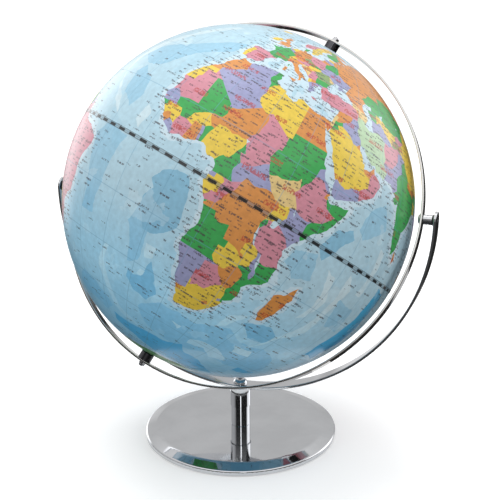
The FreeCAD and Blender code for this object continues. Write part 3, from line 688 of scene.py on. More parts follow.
SEABED = {
    "deep": """
# Brazil basin and the western North Atlantic
-31,0 -20,-1 -22,-9 -22,-15 -23,-24 -30,-24 -29,-18 -32,-11 -34.5,-4

-38,16 -36,19 -28,16 -25,11 -27,6 -34,9

-46,24 -38,29 -28,33 -20,38 -11,42 -12,36 -20,31 -26,25 -30,21 -38,20

-70,34 -60,38 -50,38 -58,30 -66,24 -72,27

# The strip that joins the Angola and Cape basins
-4,-13 1,-20 1,-29 -3,-31 -4,-25 -7,-20

-30,-44 -20,-46 -10,-52 -16,-56 -32,-54 -40,-50

# Agulhas basin and the sea round it
14,-38 30,-38 42,-33 50,-36 60,-34 72,-38 78,-44 60,-49 44,-48 30,-52 12,-50 6,-44

42,-4 49,-2 52,-9 46,-11 41,-8

61,7 70,13 66,19 60,15 58,9

66,-9 76,-10 78,-18 70,-18

# Pacific and Southern Ocean
138,18 150,30 168,40 177,36 177,12 160,6 146,8

-177,36 -165,44 -145,46 -132,36 -138,18 -160,8 -177,12

-112,-48 -90,-40 -84,-28 -92,-12 -84,-4 -78,-16 -76,-34 -80,-52 -96,-60

150,-40 160,-34 162,-44 152,-50

96,-48 130,-44 150,-56 130,-60 100,-58

-170,-30 -150,-28 -140,-44 -160,-56 -176,-48
""",
    "abyss": """
# Angola basin
-3,-4 1,-2 5,-2 7,-5 8,-9 9,-15 6,-18 2,-20 -1,-20 -5,-15 -5,-12 -3,-9 -5,-7

# Cape basin
6,-27 9,-31 12,-36 9,-40 2,-39 -2,-36 -2,-33 1,-34 4,-33 5,-30

# Somali, Madagascar and Indian basins
51,6 56,8 58,6 54,1 51,-3 48,0

44,-29 48,-27.5 53,-26 58,-28 57,-32 50,-33

95,-12 105,-14 108,-24 98,-26

# Pacific deeps
146,34 158,42 164,36 152,26

-175,30 -150,36 -148,24 -168,18

-90,-18 -84,-14 -78,-22 -80,-34 -88,-30
""",
    "hadal": """
# The deep round Antarctica
-10,-55 8,-55 16,-54 24,-54 33,-50 38,-54 48,-54 58,-57 76,-60 60,-64 30,-66 8,-63 -10,-59

82,-1 88,-2 91,-20 88,-30 79,-29 79,-22 82,-12

66,-47 78,-46 76,-49 67,-50
""",
    "rise": """
# The ridge down the middle of the Atlantic
-14,-30 -12,-30 -14,-36 -12,-40 -8,-46 -4,-50 4,-52 8,-54 0,-54 -8,-51 -13,-44 -17,-38

-32,50 -28,50 -34,40 -42,30 -46,22 -44,14 -36,6 -30,3 -34,8 -42,13 -49,20 -46,32 -38,42

-20,9 -17,7 -18,2 -21,4

# Walvis ridge and the rises round the Cape
2,-23 6,-23 6,-26 3,-27

3,-31 5,-31 4,-33 2,-33

22,-42 27,-42 26,-44

38,-29 42,-27 44,-25.5 43,-28 40,-33 37,-35

34,-45 40,-43 50,-44 56,-47 48,-49 42,-46 34,-48

50,-38 58,-37 60,-40 52,-41

66,-51 78,-50 80,-54 70,-55

# Mascarene plateau, Maldives and the central Indian ridge
55,-4 59,-5 62,-12 60,-18 57,-20 59,-14 57,-8

71,8 74,7 74,-6 71,-6

64,-2 68,-6 66,-14 65,-24 60,-28 54,-37 58,-29 62,-22 64,-12

# Pacific rises
-114,14 -108,8 -112,-20 -116,-40 -132,-54 -124,-40 -118,-20

160,-6 175,-14 177,-26 172,-30 166,-18

-175,22 -162,20 -154,16 -160,24 -175,26
""",
}

# ---------------------------------------------------------------- from outlines to coloured triangles


def places_in(text):
    """The "longitude,latitude" places that a text holds, as pairs of numbers."""
    return [tuple(float(part) for part in place.split(",")) for place in text.split()]


def outlines(text, closed):
    """The outlines that one block of map text holds, each a list of places."""
    found = []
    for block in text.split("\n\n"):
        lines = [line for line in block.splitlines() if not line.startswith("#")]
        outline = places_in(" ".join(lines))
        on_edge = MAP_EDGE in (abs(outline[0][0]), abs(outline[-1][0]))
        if closed and not on_edge:
            outline.append(outline[0])
        found.append(outline)
    return found


def wandering(outline, dice, share):
    """The outline with its long steps broken up, each middle moved a little to one side."""

    def between(start, end):
        east = end[0] - start[0]
        north = end[1] - start[1]
        squeeze = max(LEAST_SQUEEZE, math.cos(math.radians((start[1] + end[1]) / 2)))
        if math.hypot(east * squeeze, north) <= FINEST_STEP:
            return [end]
        aside = dice.uniform(-share, share)
        middle = (
            (start[0] + end[0]) / 2 - north * aside / squeeze,
            (start[1] + end[1]) / 2 + east * squeeze * aside,
        )
        return between(start, middle) + between(middle, end)

    path = [outline[0]]
    for start, end in zip(outline, outline[1:]):
        path += between(start, end)
    return path


def inside(outline, places):
    """Which of the places, an array of (longitude, latitude) rows, a closed outline holds."""
    held = numpy.zeros(len(places), bool)
    for (lon_a, lat_a), (lon_b, lat_b) in zip(outline, outline[1:]):
        if lat_a == lat_b:
            continue
        crosses = (lat_a > places[:, 1]) != (lat_b > places[:, 1])
        reach = lon_a + (lon_b - lon_a) * (places[:, 1] - lat_a) / (lat_b - lat_a)
        held ^= crosses & (places[:, 0] < reach)
    return held


def unit_direction(lon, lat):
    """Where a place on the map points from the ball's centre, in the map's own frame."""
    across = math.radians(lon)
    up = math.radians(lat + PRINT_STRETCH * math.sin(math.radians(2 * lat)))
    return Vector((math.cos(up) * math.cos(across), math.cos(up) * math.sin(across), math.sin(up)))


class PrintedMap:
    """The whole map as triangles: places, corners, ink, land or sea, and distance to shore."""

    def __init__(self):
        dice = random.Random(WANDER_SEED)
        self.known = {}
        self.edges = []
        shore_ids = set()
        # Each text, how far its lines wander, and whether its outlines are shores.
        lines = ((COASTS, WANDER, True), (BORDERS, WANDER, False), (LAKES, WANDER, True), (RULED, 0.0, False))
        for text, share, is_shore in lines:
            for outline in outlines(text, closed=is_shore):
                ids = self.draw(wandering(outline, dice, share))
                if is_shore:
                    shore_ids.update(ids)
        drawn = list(self.known)
        self.shores = [drawn[i] for i in sorted(shore_ids)]
        self.wall_count = len(self.edges)
        self.seabed = []
        for ink, text in SEABED.items():
            for outline in outlines(text, closed=True):
                path = wandering(outline, dice, WANDER)
                self.draw(path)
                self.seabed.append((ink, path))
        self.draw_lattice()
        self.triangulate()
        self.colour_lands()
        self.colour_seabed()
        self.measure_shore()

    def draw(self, path):
        """Adds a line to the drawing and returns the numbers of its points."""
        ids = []
        for lon, lat in path:
            place = (round(lon, 3), round(lat, 3))
            ids.append(self.known.setdefault(place, len(self.known)))
        self.edges += [(a, b) for a, b in zip(ids, ids[1:]) if a != b]
        return ids

    def draw_lattice(self):
        """The map's frame, its equator, and an even lattice of points that keeps the ball round."""
        rows = range(LATTICE_STEP - 90, 90, LATTICE_STEP)
        columns = range(-MAP_EDGE, MAP_EDGE + 1, LATTICE_STEP)
        for lat in (-CAP_LATITUDE, 0, CAP_LATITUDE):
            self.draw([(lon, lat) for lon in columns])
        for lon in (-MAP_EDGE, MAP_EDGE):
            self.draw([(lon, lat) for lat in (-CAP_LATITUDE, *rows, CAP_LATITUDE)])
        for lat in rows:
            for lon in columns[1:-1]:
                self.draw([(lon, lat)])

    def triangulate(self):
        """Cuts the map into triangles along its lines, and notes which are open to each other."""
        points = [Vector(place) for place in self.known]
        places, edges, faces, _, edge_sources, _ = delaunay_2d_cdt(points, self.edges, [], 0, SAME_PLACE)
        self.places = [tuple(place) for place in places]
        self.faces = [tuple(face) for face in faces]
        self.inks = ["sea"] * len(self.faces)
        self.land = [0.0] * len(self.faces)
        walls = set()
        for (a, b), sources in zip(edges, edge_sources):
            if any(source < self.wall_count for source in sources):
                walls.add((min(a, b), max(a, b)))
        self.beside = {}
        for number, face in enumerate(self.faces):
            for a, b in zip(face, face[1:] + face[:1]):
                self.beside.setdefault((min(a, b), max(a, b)), []).append(number)
        self.open_to = [[] for _ in self.faces]
        for edge, pair in self.beside.items():
            if len(pair) == 2 and edge not in walls:
                self.open_to[pair[0]].append(pair[1])
                self.open_to[pair[1]].append(pair[0])
        self.corners = numpy.array([[self.places[i] for i in face] for face in self.faces])

    def face_at(self, lon, lat):
        """The number of the triangle that holds a place."""
        a, b, c = (self.corners[:, i] for i in range(3))
        sides = []
        for start, end in ((a, b), (b, c), (c, a)):
            along = end - start
            sides.append(along[:, 0] * (lat - start[:, 1]) - along[:, 1] * (lon - start[:, 0]))
        sides = numpy.array(sides)
        return int(numpy.nonzero((sides >= 0).all(axis=0) | (sides <= 0).all(axis=0))[0][0])

    def colour_lands(self):
        """Each land's ink spreads from a place in it up to its coasts and borders."""
        for ink, text in LANDS.items():
            for lon, lat in places_in(text):
                waiting = [self.face_at(lon, lat)]
                while waiting:
                    number = waiting.pop()
                    if self.land[number]:
                        continue
                    self.land[number] = 1.0
                    self.inks[number] = ink
                    waiting += self.open_to[number]

    def colour_seabed(self):
        """Each patch of seabed colours the sea whose triangles have their middles in it."""
        middles = self.corners.mean(axis=1)
        for ink, path in self.seabed:
            for number in numpy.nonzero(inside(path, middles))[0]:
                if not self.land[number]:
                    self.inks[number] = ink

    def measure_shore(self):
        """How far each point lies from the nearest coast, in degrees."""
        self.directions = [unit_direction(*place) for place in self.places]
        tree = KDTree(len(self.shores))
        for number, place in enumerate(self.shores):
            tree.insert(unit_direction(*place), number)
        tree.balance()
        self.shore = [math.degrees(tree.find(direction)[2]) for direction in self.directions]


# ---------------------------------------------------------------- the map's three pieces


def linear(ink):
    """An ink's colour as the renderer wants it, from the sRGB curve."""
    parts = [part / 255 for part in INKS[ink]]
    return (*[((part + 0.055) / 1.055) ** 2.4 for part in parts], 1.0)


def map_piece(name, corners, faces, node, material, bare=None):
    """A closed mesh that carries the print.

    corners holds a position, a normal, a place and a distance to shore for each point, and faces
    holds the corner numbers, the ink, land or sea, and whether the face shows the print.
    """
    mesh = bpy.data.meshes.new(name)
    mesh.from_pydata([corner[0] for corner in corners], [], [face[0] for face in faces])
    inks = []
    lands = []
    uvs = []
    normals = []
    for polygon, (ids, ink, land, printed) in zip(mesh.polygons, faces):
        polygon.use_smooth = True
        polygon.material_index = 0 if printed else 1
        colour = linear(ink)
        for i in ids:
            lon, lat = corners[i][2]
            inks += colour
            lands.append(land)
            uvs += (0.5 + lon / 360, 0.5 + lat / 180)
            normals.append(corners[i][1] or polygon.normal.copy())
    mesh.color_attributes.new("print_ink", "FLOAT_COLOR", "CORNER")
    mesh.attributes.new("print_land", "FLOAT", "CORNER")
    mesh.attributes.new("print_shore", "FLOAT", "POINT")
    mesh.uv_layers.new(name="print_place")
    mesh.color_attributes["print_ink"].data.foreach_set("color", inks)
    mesh.attributes["print_land"].data.foreach_set("value", lands)
    mesh.attributes["print_shore"].data.foreach_set("value", [corner[3] for corner in corners])
    mesh.uv_layers["print_place"].uv.foreach_set("vector", uvs)
    mesh.materials.append(material)
    if bare:
        mesh.materials.append(bare)
    mesh.normals_split_custom_set(normals)
    piece = bpy.data.objects.new(name, mesh)
    bpy.context.scene.collection.objects.link(piece)
    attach(piece, "globe")
    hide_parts(node)


def hemisphere(printed_map, sign, name, node, material, bare):
    """Half of the hollow ball: the print outside, bare plastic inside, closed at both edges."""
    chosen = []
    for number, face in enumerate(printed_map.faces):
        if sign * printed_map.corners[number][:, 1].sum() > 0:
            chosen.append(number)
    # The map's two ends meet on the ball, so their points are shared. The faces beside that line take
    # their print places from both ends, which squeezes the grid and the dashes in them.
    meeting = {}
    for i, (lon, lat) in enumerate(printed_map.places):
        if abs(lon - MAP_EDGE) < SAME_PLACE:
            meeting[round(lat, 3)] = i
    used = {}
    corners = []
    faces = []

    def corner(i):
        """The number of a map point among this half's corners, in order of first use."""
        lon, lat = printed_map.places[i]
        place_id = meeting[round(lat, 3)] if abs(lon + MAP_EDGE) < SAME_PLACE else i
        if place_id not in used:
            used[place_id] = len(used)
        return used[place_id]

    outer = []
    for number in chosen:
        outer.append((tuple(corner(i) for i in printed_map.faces[number]), number))
    for place_id in used:
        direction = printed_map.directions[place_id]
        position = BALL_CENTRE + MAP_TO_WORLD @ (direction * BALL_RADIUS)
        place = printed_map.places[place_id]
        corners.append((position, MAP_TO_WORLD @ direction, place, printed_map.shore[place_id]))
    count = len(corners)
    for position, outward, place, shore in corners[:count]:
        inner = position - outward * SHELL_THICKNESS
        corners.append((inner, -outward, place, shore))
    sides = {}
    for ids, number in outer:
        faces.append((ids, printed_map.inks[number], printed_map.land[number], True))
        faces.append((tuple(i + count for i in reversed(ids)), "sea", 0.0, False))
        for a, b in zip(ids, ids[1:] + ids[:1]):
            if (b, a) in sides:
                del sides[(b, a)]
            else:
                sides[(a, b)] = number
    for a, b in sides:
        faces.append(((b, a, a + count, b + count), "sea", 0.0, False))
    map_piece(name, corners, faces, node, material, bare)


def equator_band(printed_map, name, node, material):
    """The tape over the joint, clear so that the inks on each side show on it."""
    along = []
    for (a, b), pair in printed_map.beside.items():
        ends = sorted((printed_map.places[a], printed_map.places[b]))
        if len(pair) == 2 and abs(ends[0][1]) < SAME_PLACE and abs(ends[1][1]) < SAME_PLACE:
            pair = sorted(pair, key=lambda number: printed_map.corners[number][:, 1].sum())
            along.append((ends[0][0], pair[0], pair[1]))
    along.sort()
    half = TAPE_WIDTH / 2
    # How far each corner of the tape's section stands proud, its height and its latitude.
    section = [
        (0.0, -half, -TAPE_LATITUDE),
        (TAPE_THICKNESS, -half, -TAPE_LATITUDE),
        (TAPE_THICKNESS, 0.0, 0.0),
        (TAPE_THICKNESS, half, TAPE_LATITUDE),
        (0.0, half, TAPE_LATITUDE),
    ]
    corners = []
    faces = []
    for lon, _, _ in along:
        level = unit_direction(lon, 0.0)
        for proud, rise, lat in section:
            spot = level * (BALL_RADIUS + proud) + Vector((0, 0, rise))
            corners.append((BALL_CENTRE + MAP_TO_WORLD @ spot, None, (lon, lat), FAR_FROM_SHORE))
    width = len(section)
    for number, (_, south, north) in enumerate(along):
        here = number * width
        there = (number + 1) % len(along) * width
        for side in range(width):
            ahead = (side + 1) % width
            ids = (here + side, there + side, there + ahead, here + ahead)
            shown = south if side < 2 else north
            faces.append((ids, printed_map.inks[shown], printed_map.land[shown], True))
    map_piece(name, corners, faces, node, material)


# ---------------------------------------------------------------- materials

# A noise's usual range, its middle and its upper part.
NOISE_SPAN = (0.3, 0.7)
NOISE_MIDDLE = (0.35, 0.65)
NOISE_UPPER = (0.4, 0.7)

# Linear colours that the print lays over its inks.
HIGH_GROUND_TINT = (0.66, 0.78, 0.82, 1.0)
LOW_GROUND_TINT = (0.20, 0.47, 0.64, 1.0)
SOUTH_TINT = (0.93, 1.2, 1.34, 1.0)
FAR_SOUTH_TINT = (0.12, 0.46, 0.74, 1.0)
SHELF_TINT = (0.66, 0.76, 0.82, 1.0)
GRID_INK = (0.12, 0.30, 0.45, 1.0)
PLACE_INK = (0.055, 0.045, 0.055, 1.0)
COUNTRY_INK = (0.42, 0.03, 0.02, 1.0)
TAPE_TINT = (0.12, 0.14, 0.15, 1.0)
TAPE_LINE_INK = (0.02, 0.02, 0.02, 1.0)
TAPE_STEP_INK = (0.005, 0.005, 0.005, 1.0)

# Print sizes, in degrees.
GRID_SPACING = 15.0
GRID_LINE = 0.16
STROKE_WIDTH = 0.3
STROKE_HEIGHT = STROKE_WIDTH * 1.4
EQUATOR_STEP = 5.0


def grey(level):
    return (level, level, level, 1.0)


class NodeWork:
    """A node tree in the making. Each call adds one node and returns what it puts out."""

    def __init__(self, tree):
        self.nodes = tree.nodes
        self.links = tree.links

    def feed(self, socket, value):
        if isinstance(value, bpy.types.NodeSocket):
            self.links.new(value, socket)
        else:
            socket.default_value = value

    def node(self, kind, output, **values):
        """A node of one kind, its named inputs fed, by the name of the output that is wanted."""
        node = self.nodes.new("ShaderNode" + kind)
        for name, value in values.items():
            self.feed(node.inputs[name.replace("_", " ")], value)
        return node.outputs[output]

    def math(self, operation, *values):
        node = self.nodes.new("ShaderNodeMath")
        node.operation = operation
        for socket, value in zip(node.inputs, values):
            self.feed(socket, value)
        return node.outputs["Value"]

    def all_of(self, *values):
        """The product of several masks."""
        product = values[0]
        for value in values[1:]:
            product = self.math("MULTIPLY", product, value)
        return product

    def mix(self, share, first, second, blend="MIX"):
        node = self.nodes.new("ShaderNodeMixRGB")
        node.blend_type = blend
        for socket, value in zip(node.inputs, (share, first, second)):
            self.feed(socket, value)
        return node.outputs["Color"]

    def noise(self, place, scale, detail):
        return self.node("TexNoise", "Fac", Vector=place, Scale=scale, Detail=detail)

    def spread(self, value, low, high, to_low, to_high):
        """A value moved from one range to another, held at the ends."""
        ranges = {"From_Min": low, "From_Max": high, "To_Min": to_low, "To_Max": to_high}
        return self.node("MapRange", "Result", Value=value, **ranges)

    def object_place(self):
        return self.node("TexCoord", "Object")

    def attribute(self, name, output):
        node = self.nodes.new("ShaderNodeAttribute")
        node.attribute_name = name
        return node.outputs[output]

    def bump(self, height, strength, distance):
        return self.node("Bump", "Normal", Height=height, Strength=strength, Distance=distance)

    def joined(self, x, y, z):
        return self.node("CombineXYZ", "Vector", X=x, Y=y, Z=z)

    def parts(self, vector):
        """The X, Y and Z of a vector."""
        node = self.nodes.new("ShaderNodeSeparateXYZ")
        self.feed(node.inputs["Vector"], vector)
        return node.outputs["X"], node.outputs["Y"], node.outputs["Z"]

    def along(self, vector, way):
        """How far a vector reaches along a fixed direction."""
        node = self.nodes.new("ShaderNodeVectorMath")
        node.operation = "DOT_PRODUCT"
        self.feed(node.inputs[0], vector)
        self.feed(node.inputs[1], way)
        return node.outputs["Value"]

    def ramp(self, value, stops):
        """Greys by position, from (position, level) pairs."""
        node = self.nodes.new("ShaderNodeValToRGB")
        self.feed(node.inputs["Fac"], value)
        band = node.color_ramp
        while len(band.elements) < len(stops):
            band.elements.new(1.0)
        for element, (position, level) in zip(band.elements, stops):
            element.position = position
            element.color = grey(level)
        return node.outputs["Color"]


class Surface(NodeWork):
    """A material in the making."""

    def __init__(self, name):
        self.material = bpy.data.materials.new(name)
        self.material.use_nodes = True
        super().__init__(self.material.node_tree)
        self.shader = self.nodes["Principled BSDF"]

    def finish(self, **values):
        for name, value in values.items():
            self.feed(self.shader.inputs[name.replace("_", " ")], value)
        return self.material


class MapSurface(Surface):
    """A political map on paper, printed layer by layer over the inks that the mesh carries."""

    def __init__(self, name):
        super().__init__(name)
        self.grain_place = self.object_place()
        place = self.nodes.new("ShaderNodeUVMap")
        place.uv_map = "print_place"
        across, up, _ = self.parts(place.outputs["UV"])
        self.lon = self.math("MULTIPLY", self.math("SUBTRACT", across, 0.5), 360.0)
        self.lat = self.math("MULTIPLY", self.math("SUBTRACT", up, 0.5), 180.0)
        self.ink = self.attribute("print_ink", "Color")
        self.land = self.math("GREATER_THAN", self.attribute("print_land", "Fac"), 0.5)
        self.sea = self.math("SUBTRACT", 1.0, self.land)
        self.shore = self.attribute("print_shore", "Fac")

    def lay(self, mask, strength, colour):
        """Lays a colour over the ink so far, as strongly as given, where the mask is."""
        self.ink = self.mix(self.math("MULTIPLY", mask, strength), self.ink, colour)

    def print_relief(self):
        """The seabed's relief: a light and a dark tint with clear edges."""
        relief = self.noise(self.grain_place, 38.0, 6.0)
        high_ground = self.math("MULTIPLY", self.math("GREATER_THAN", relief, 0.62), self.sea)
        low_ground = self.math("MULTIPLY", self.math("LESS_THAN", relief, 0.38), self.sea)
        self.lay(high_ground, 0.22, HIGH_GROUND_TINT)
        self.lay(low_ground, 0.14, LOW_GROUND_TINT)

    def print_unevenly(self, cloud):
        """All ink is a little uneven."""
        level = self.spread(cloud, *NOISE_SPAN, 0.91, 1.07)
        shade = self.node("CombineColor", "Color", Red=level, Green=level, Blue=level)
        self.ink = self.mix(1.0, self.ink, shade, "MULTIPLY")

    def print_south(self):
        """The far south is printed in a stronger blue."""
        south = self.math("MULTIPLY", self.spread(self.lat, -12.0, -34.0, 0.0, 1.0), self.sea)
        self.ink = self.mix(south, self.ink, SOUTH_TINT, "MULTIPLY")
        far_south = self.math("MULTIPLY", self.spread(self.lat, -38.0, -52.0, 0.0, 0.4), self.sea)
        self.ink = self.mix(far_south, self.ink, FAR_SOUTH_TINT)

    def print_shelf(self):
        """A pale shelf with a ragged edge follows the coasts."""
        ragged = self.noise(self.grain_place, 120.0, 5.0)
        shelf_edge = self.spread(ragged, *NOISE_SPAN, 0.5, 2.1)
        on_shelf = self.all_of(self.math("LESS_THAN", self.shore, shelf_edge), self.sea)
        self.lay(on_shelf, 0.45, SHELF_TINT)

    def line_every(self, value, squeeze=None):
        """A thin line at each multiple of the grid's spacing, softened at its edges."""
        off = self.math("PINGPONG", value, GRID_SPACING / 2)
        if squeeze is not None:
            off = self.math("MULTIPLY", off, squeeze)
        return self.spread(off, GRID_LINE * 0.5, GRID_LINE, 1.0, 0.0)

    def print_grid(self):
        """Meridians and parallels."""
        squeeze = self.math("COSINE", self.math("RADIANS", self.lat))
        grid = self.math("MAXIMUM", self.line_every(self.lon, squeeze), self.line_every(self.lat))
        self.lay(grid, 0.4, GRID_INK)

    def marks(self, row_height, cell_width, thickness, longest, fill, seed):
        """Rows of short printed dashes, broken up as small print is, but with no letters in them.

        Each row is cut into cells. The share that fill gives of them hold a dash, each with its own
        length and height in the row, and narrow strokes of their own darkness break it up.
        """
        row_place = self.math("DIVIDE", self.lat, row_height)
        row = self.math("FLOOR", row_place)
        row_lat = self.math("MULTIPLY", row, math.radians(row_height))
        squeeze = self.math("DIVIDE", self.math("COSINE", row_lat), cell_width)
        row_dice = self.node("TexWhiteNoise", "Value", Vector=self.joined(row, seed, 0.5))
        along = self.math("ADD", self.math("MULTIPLY", self.lon, squeeze), row_dice)
        cell = self.math("FLOOR", along)
        cell_dice = self.node("TexWhiteNoise", "Color", Vector=self.joined(cell, row, seed))
        dice = self.nodes.new("ShaderNodeSeparateColor")
        self.feed(dice.inputs["Color"], cell_dice)
        present = self.math("LESS_THAN", dice.outputs["Red"], fill)
        half = self.spread(dice.outputs["Green"], 0.0, 1.0, longest * 0.18, longest * 0.5)
        off_middle = self.math("SUBTRACT", self.math("FRACT", along), 0.5)
        in_length = self.math("LESS_THAN", self.math("ABSOLUTE", off_middle), half)
        level = self.spread(dice.outputs["Blue"], 0.0, 1.0, 0.3, 0.7)
        off_row = self.math("SUBTRACT", self.math("FRACT", row_place), level)
        in_row = self.math("LESS_THAN", self.math("ABSOLUTE", off_row), thickness / 2)
        stroke = self.math("FLOOR", self.math("MULTIPLY", along, cell_width / STROKE_WIDTH))
        storey = self.math("FLOOR", self.math("DIVIDE", self.lat, STROKE_HEIGHT))
        stroke_dice = self.node("TexWhiteNoise", "Value", Vector=self.joined(stroke, storey, seed))
        strength = self.spread(stroke_dice, 0.35, 0.55, 0.1, 1.0)
        return self.all_of(present, in_length, in_row, strength)

    def print_marks(self):
        """Dashes for places, many on land and along coasts, few at sea, and larger red ones for lands."""
        near = self.spread(self.shore, 0.5, 6.0, 0.75, 0.09)
        on_land = self.math("MULTIPLY", self.land, 0.62)
        places = self.math("ADD", on_land, self.math("MULTIPLY", self.sea, near))
        small = self.marks(1.7, cell_width=5.0, thickness=0.30, longest=0.85, fill=places, seed=1.5)
        tiny = self.marks(1.1, cell_width=3.4, thickness=0.34, longest=0.8, fill=places, seed=4.5)
        self.lay(tiny, 0.65, PLACE_INK)
        self.lay(small, 0.8, PLACE_INK)
        lands = self.math("MULTIPLY", self.land, 0.5)
        large = self.marks(5.2, cell_width=12.0, thickness=0.27, longest=0.75, fill=lands, seed=9.5)
        self.lay(large, 0.7, COUNTRY_INK)

    def print_equator(self):
        """The equator's own marks: a thin line on each side and black and clear steps between."""
        off_line = self.math("ABSOLUTE", self.lat)
        on_tape = self.math("LESS_THAN", off_line, TAPE_LATITUDE)
        side_line = self.math("GREATER_THAN", off_line, TAPE_LATITUDE * 0.8)
        along_step = self.math("FRACT", self.math("DIVIDE", self.lon, EQUATOR_STEP))
        in_step = self.math("LESS_THAN", along_step, 0.56)
        off_step = self.math("ABSOLUTE", self.math("ADD", self.lat, TAPE_LATITUDE * 0.12))
        step = self.math("MULTIPLY", in_step, self.math("LESS_THAN", off_step, TAPE_LATITUDE * 0.68))
        self.lay(on_tape, 0.4, TAPE_TINT)
        self.lay(self.all_of(on_tape, side_line), 0.8, TAPE_LINE_INK)
        self.lay(self.all_of(on_tape, step), 0.95, TAPE_STEP_INK)


def printed_surface(name, coat_roughness):
    """A political map on paper under varnish."""
    s = MapSurface(name)
    s.print_relief()
    cloud = s.noise(s.grain_place, 260.0, 5.0)
    s.print_unevenly(cloud)
    s.print_south()
    s.print_shelf()
    s.print_grid()
    s.print_marks()
    s.print_equator()
    paper = s.noise(s.grain_place, 2200.0, 2.0)
    return s.finish(
        Base_Color=s.ink,
        Roughness=s.spread(cloud, *NOISE_SPAN, 0.42, 0.5),
        Specular_IOR_Level=0.4,
        Coat_Weight=0.55,
        Coat_Roughness=coat_roughness,
        Normal=s.bump(paper, 0.05, 0.0002),
    )


def scaled(colour, share):
    """A colour made lighter or darker, with its alpha."""
    return (*[part * share for part in colour], 1.0)


def plated(name, colour, roughness, wear, worn=0.92):
    """Plated metal: a slow change of tint, polishing haze and faint marks."""
    s = Surface(name)
    place = s.object_place()
    cloud = s.noise(place, 32.0, 6.0)
    marks_place = s.node("Mapping", "Vector", Vector=place, Scale=(900.0, 900.0, 60.0))
    fine = s.noise(marks_place, 1.0, 3.0)
    tint = s.mix(s.spread(cloud, *NOISE_MIDDLE, 0.0, 1.0), scaled(colour, 1.0), scaled(colour, worn))
    slow_haze = s.spread(cloud, *NOISE_SPAN, roughness, roughness + wear)
    fine_haze = s.spread(fine, *NOISE_UPPER, 0.0, wear)
    return s.finish(
        Base_Color=tint,
        Metallic=1.0,
        Roughness=s.math("ADD", slow_haze, fine_haze),
        Normal=s.bump(fine, 0.02, 0.00005),
    )


def rough_surface(name, colour, roughness, scale, strength, distance, contrast, **more):
    """A dull surface whose colour and height share one grain."""
    s = Surface(name)
    place = s.object_place()
    grain = s.noise(place, scale, 6.0)
    patches = s.noise(place, scale / 12, 3.0)
    both = s.math("ADD", s.math("MULTIPLY", grain, 0.6), s.math("MULTIPLY", patches, 0.4))
    tone = s.spread(both, *NOISE_MIDDLE, 0.0, 1.0)
    return s.finish(
        Base_Color=s.mix(tone, scaled(colour, 1 - contrast), scaled(colour, 1 + contrast)),
        Roughness=s.spread(grain, *NOISE_SPAN, roughness - 0.06, roughness + 0.06),
        Normal=s.bump(grain, strength, distance),
        **more,
    )


def paint(material, *nodes):
    """Puts one material on every slot of some CAD nodes."""
    for node in nodes:
        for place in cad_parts[node].material_slots:
            place.material = material


paint(plated("chrome", (0.66, 0.67, 0.69), 0.03, 0.03), "base_cover", "post", "support_arm", "arm_screw")
paint(plated("ring_chrome", (0.70, 0.69, 0.67), 0.04, 0.03), "meridian_ring")
paint(plated("bright_hardware", (0.68, 0.69, 0.71), 0.06, 0.04), "pivot_spacer_left", "pivot_spacer_right")
paint(plated("nut_chrome", (0.62, 0.62, 0.64), 0.08, 0.05), "pole_nut_north", "pole_nut_south")
paint(plated("dark_chrome", (0.11, 0.11, 0.12), 0.10, 0.06, 0.7), "pole_collar_north", "pole_collar_south")
paint(
    plated("zinc_steel", (0.55, 0.56, 0.57), 0.26, 0.12, 0.84),
    "base_bolt", "base_washer", "pivot_screw_left", "pivot_screw_right", "pole_pin_north", "pole_pin_south",
)
paint(rough_surface("cast_iron", (0.09, 0.09, 0.095), 0.72, 900.0, 0.6, 0.0004, 0.3), "base_weight")
paint(rough_surface("foam_pad", (0.025, 0.025, 0.028), 0.9, 1500.0, 0.8, 0.0003, 0.35), "base_pad")
paint(
    rough_surface("black_nylon", (0.016, 0.016, 0.017), 0.42, 1100.0, 0.12, 0.0001, 0.15),
    "pivot_washer_left", "pivot_washer_right", "pole_bush_north", "pole_bush_south",
)
shell_plastic = rough_surface("shell_plastic", (0.70, 0.69, 0.65), 0.55, 500.0, 0.08, 0.0001, 0.05)
paint(shell_plastic, "splice_ring")

# ---------------------------------------------------------------- the ball

map_print = printed_surface("map_print", 0.16)
tape_print = printed_surface("tape_print", 0.08)
printed_map = PrintedMap()
hemisphere(printed_map, 1, "north_shell", "north_hemisphere", map_print, shell_plastic)
hemisphere(printed_map, -1, "south_shell", "south_hemisphere", map_print, shell_plastic)
equator_band(printed_map, "equator_band", "equator_tape", tape_print)

# ---------------------------------------------------------------- studio and camera

CAMERA_PLACE = (0.34148, -0.89752, 0.49097)
CAMERA_ANGLES = (71.852, 0.304, 20.157)
CAMERA_LENS = 82.28
CAMERA_SENSOR = 36.0
# The compass direction that the camera looks from, 0 from -Y and 90 from +X.
CAMERA_TURN = 20.8

NEAR_FLOOR = 0.118
FAR_FLOOR = 9.0
FLOOR_SIDES = 96
FLOOR_GLOW = 0.18
# Softboxes round the ball: name, direction, height angle, distance, size and power.
SOFTBOXES = (
    ("overhead_softbox", -133, 76, 1.7, 1.1, 15.0),
    ("side_softbox", 100, 12, 1.9, 1.2, 5.0),
)

# Brightness by direction, from straight down at 0 to level at 0.5 and straight up at 1.
BACK_PANELS = ((0.0, 0.02), (0.49, 0.02), (0.53, 0.66), (0.63, 0.60), (0.74, 0.64), (0.85, 0.85))
FRONT_PANELS = (
    (0.0, 0.015),
    (0.50, 0.10),
    (0.54, 0.30),
    (0.66, 0.30),
    (0.69, 0.02),
    (0.73, 0.02),
    (0.775, 1.0),
    (0.80, 1.15),
)
SKY_LEVELS = ((0.0, 0.18), (0.25, 0.44), (0.42, 0.58), (0.62, 1.0), (1.0, 1.13))
# Spans of a direction's reach over which one panel gives way to the next.
FRONT_EDGE = (0.05, 0.25)
LEFT_WALL_EDGE = (-0.85, -0.7)
LEFT_WALL_FOOT = (-0.02, 0.04)
# The brightness of the wall on the left.
LEFT_WALL_LEVEL = 0.5
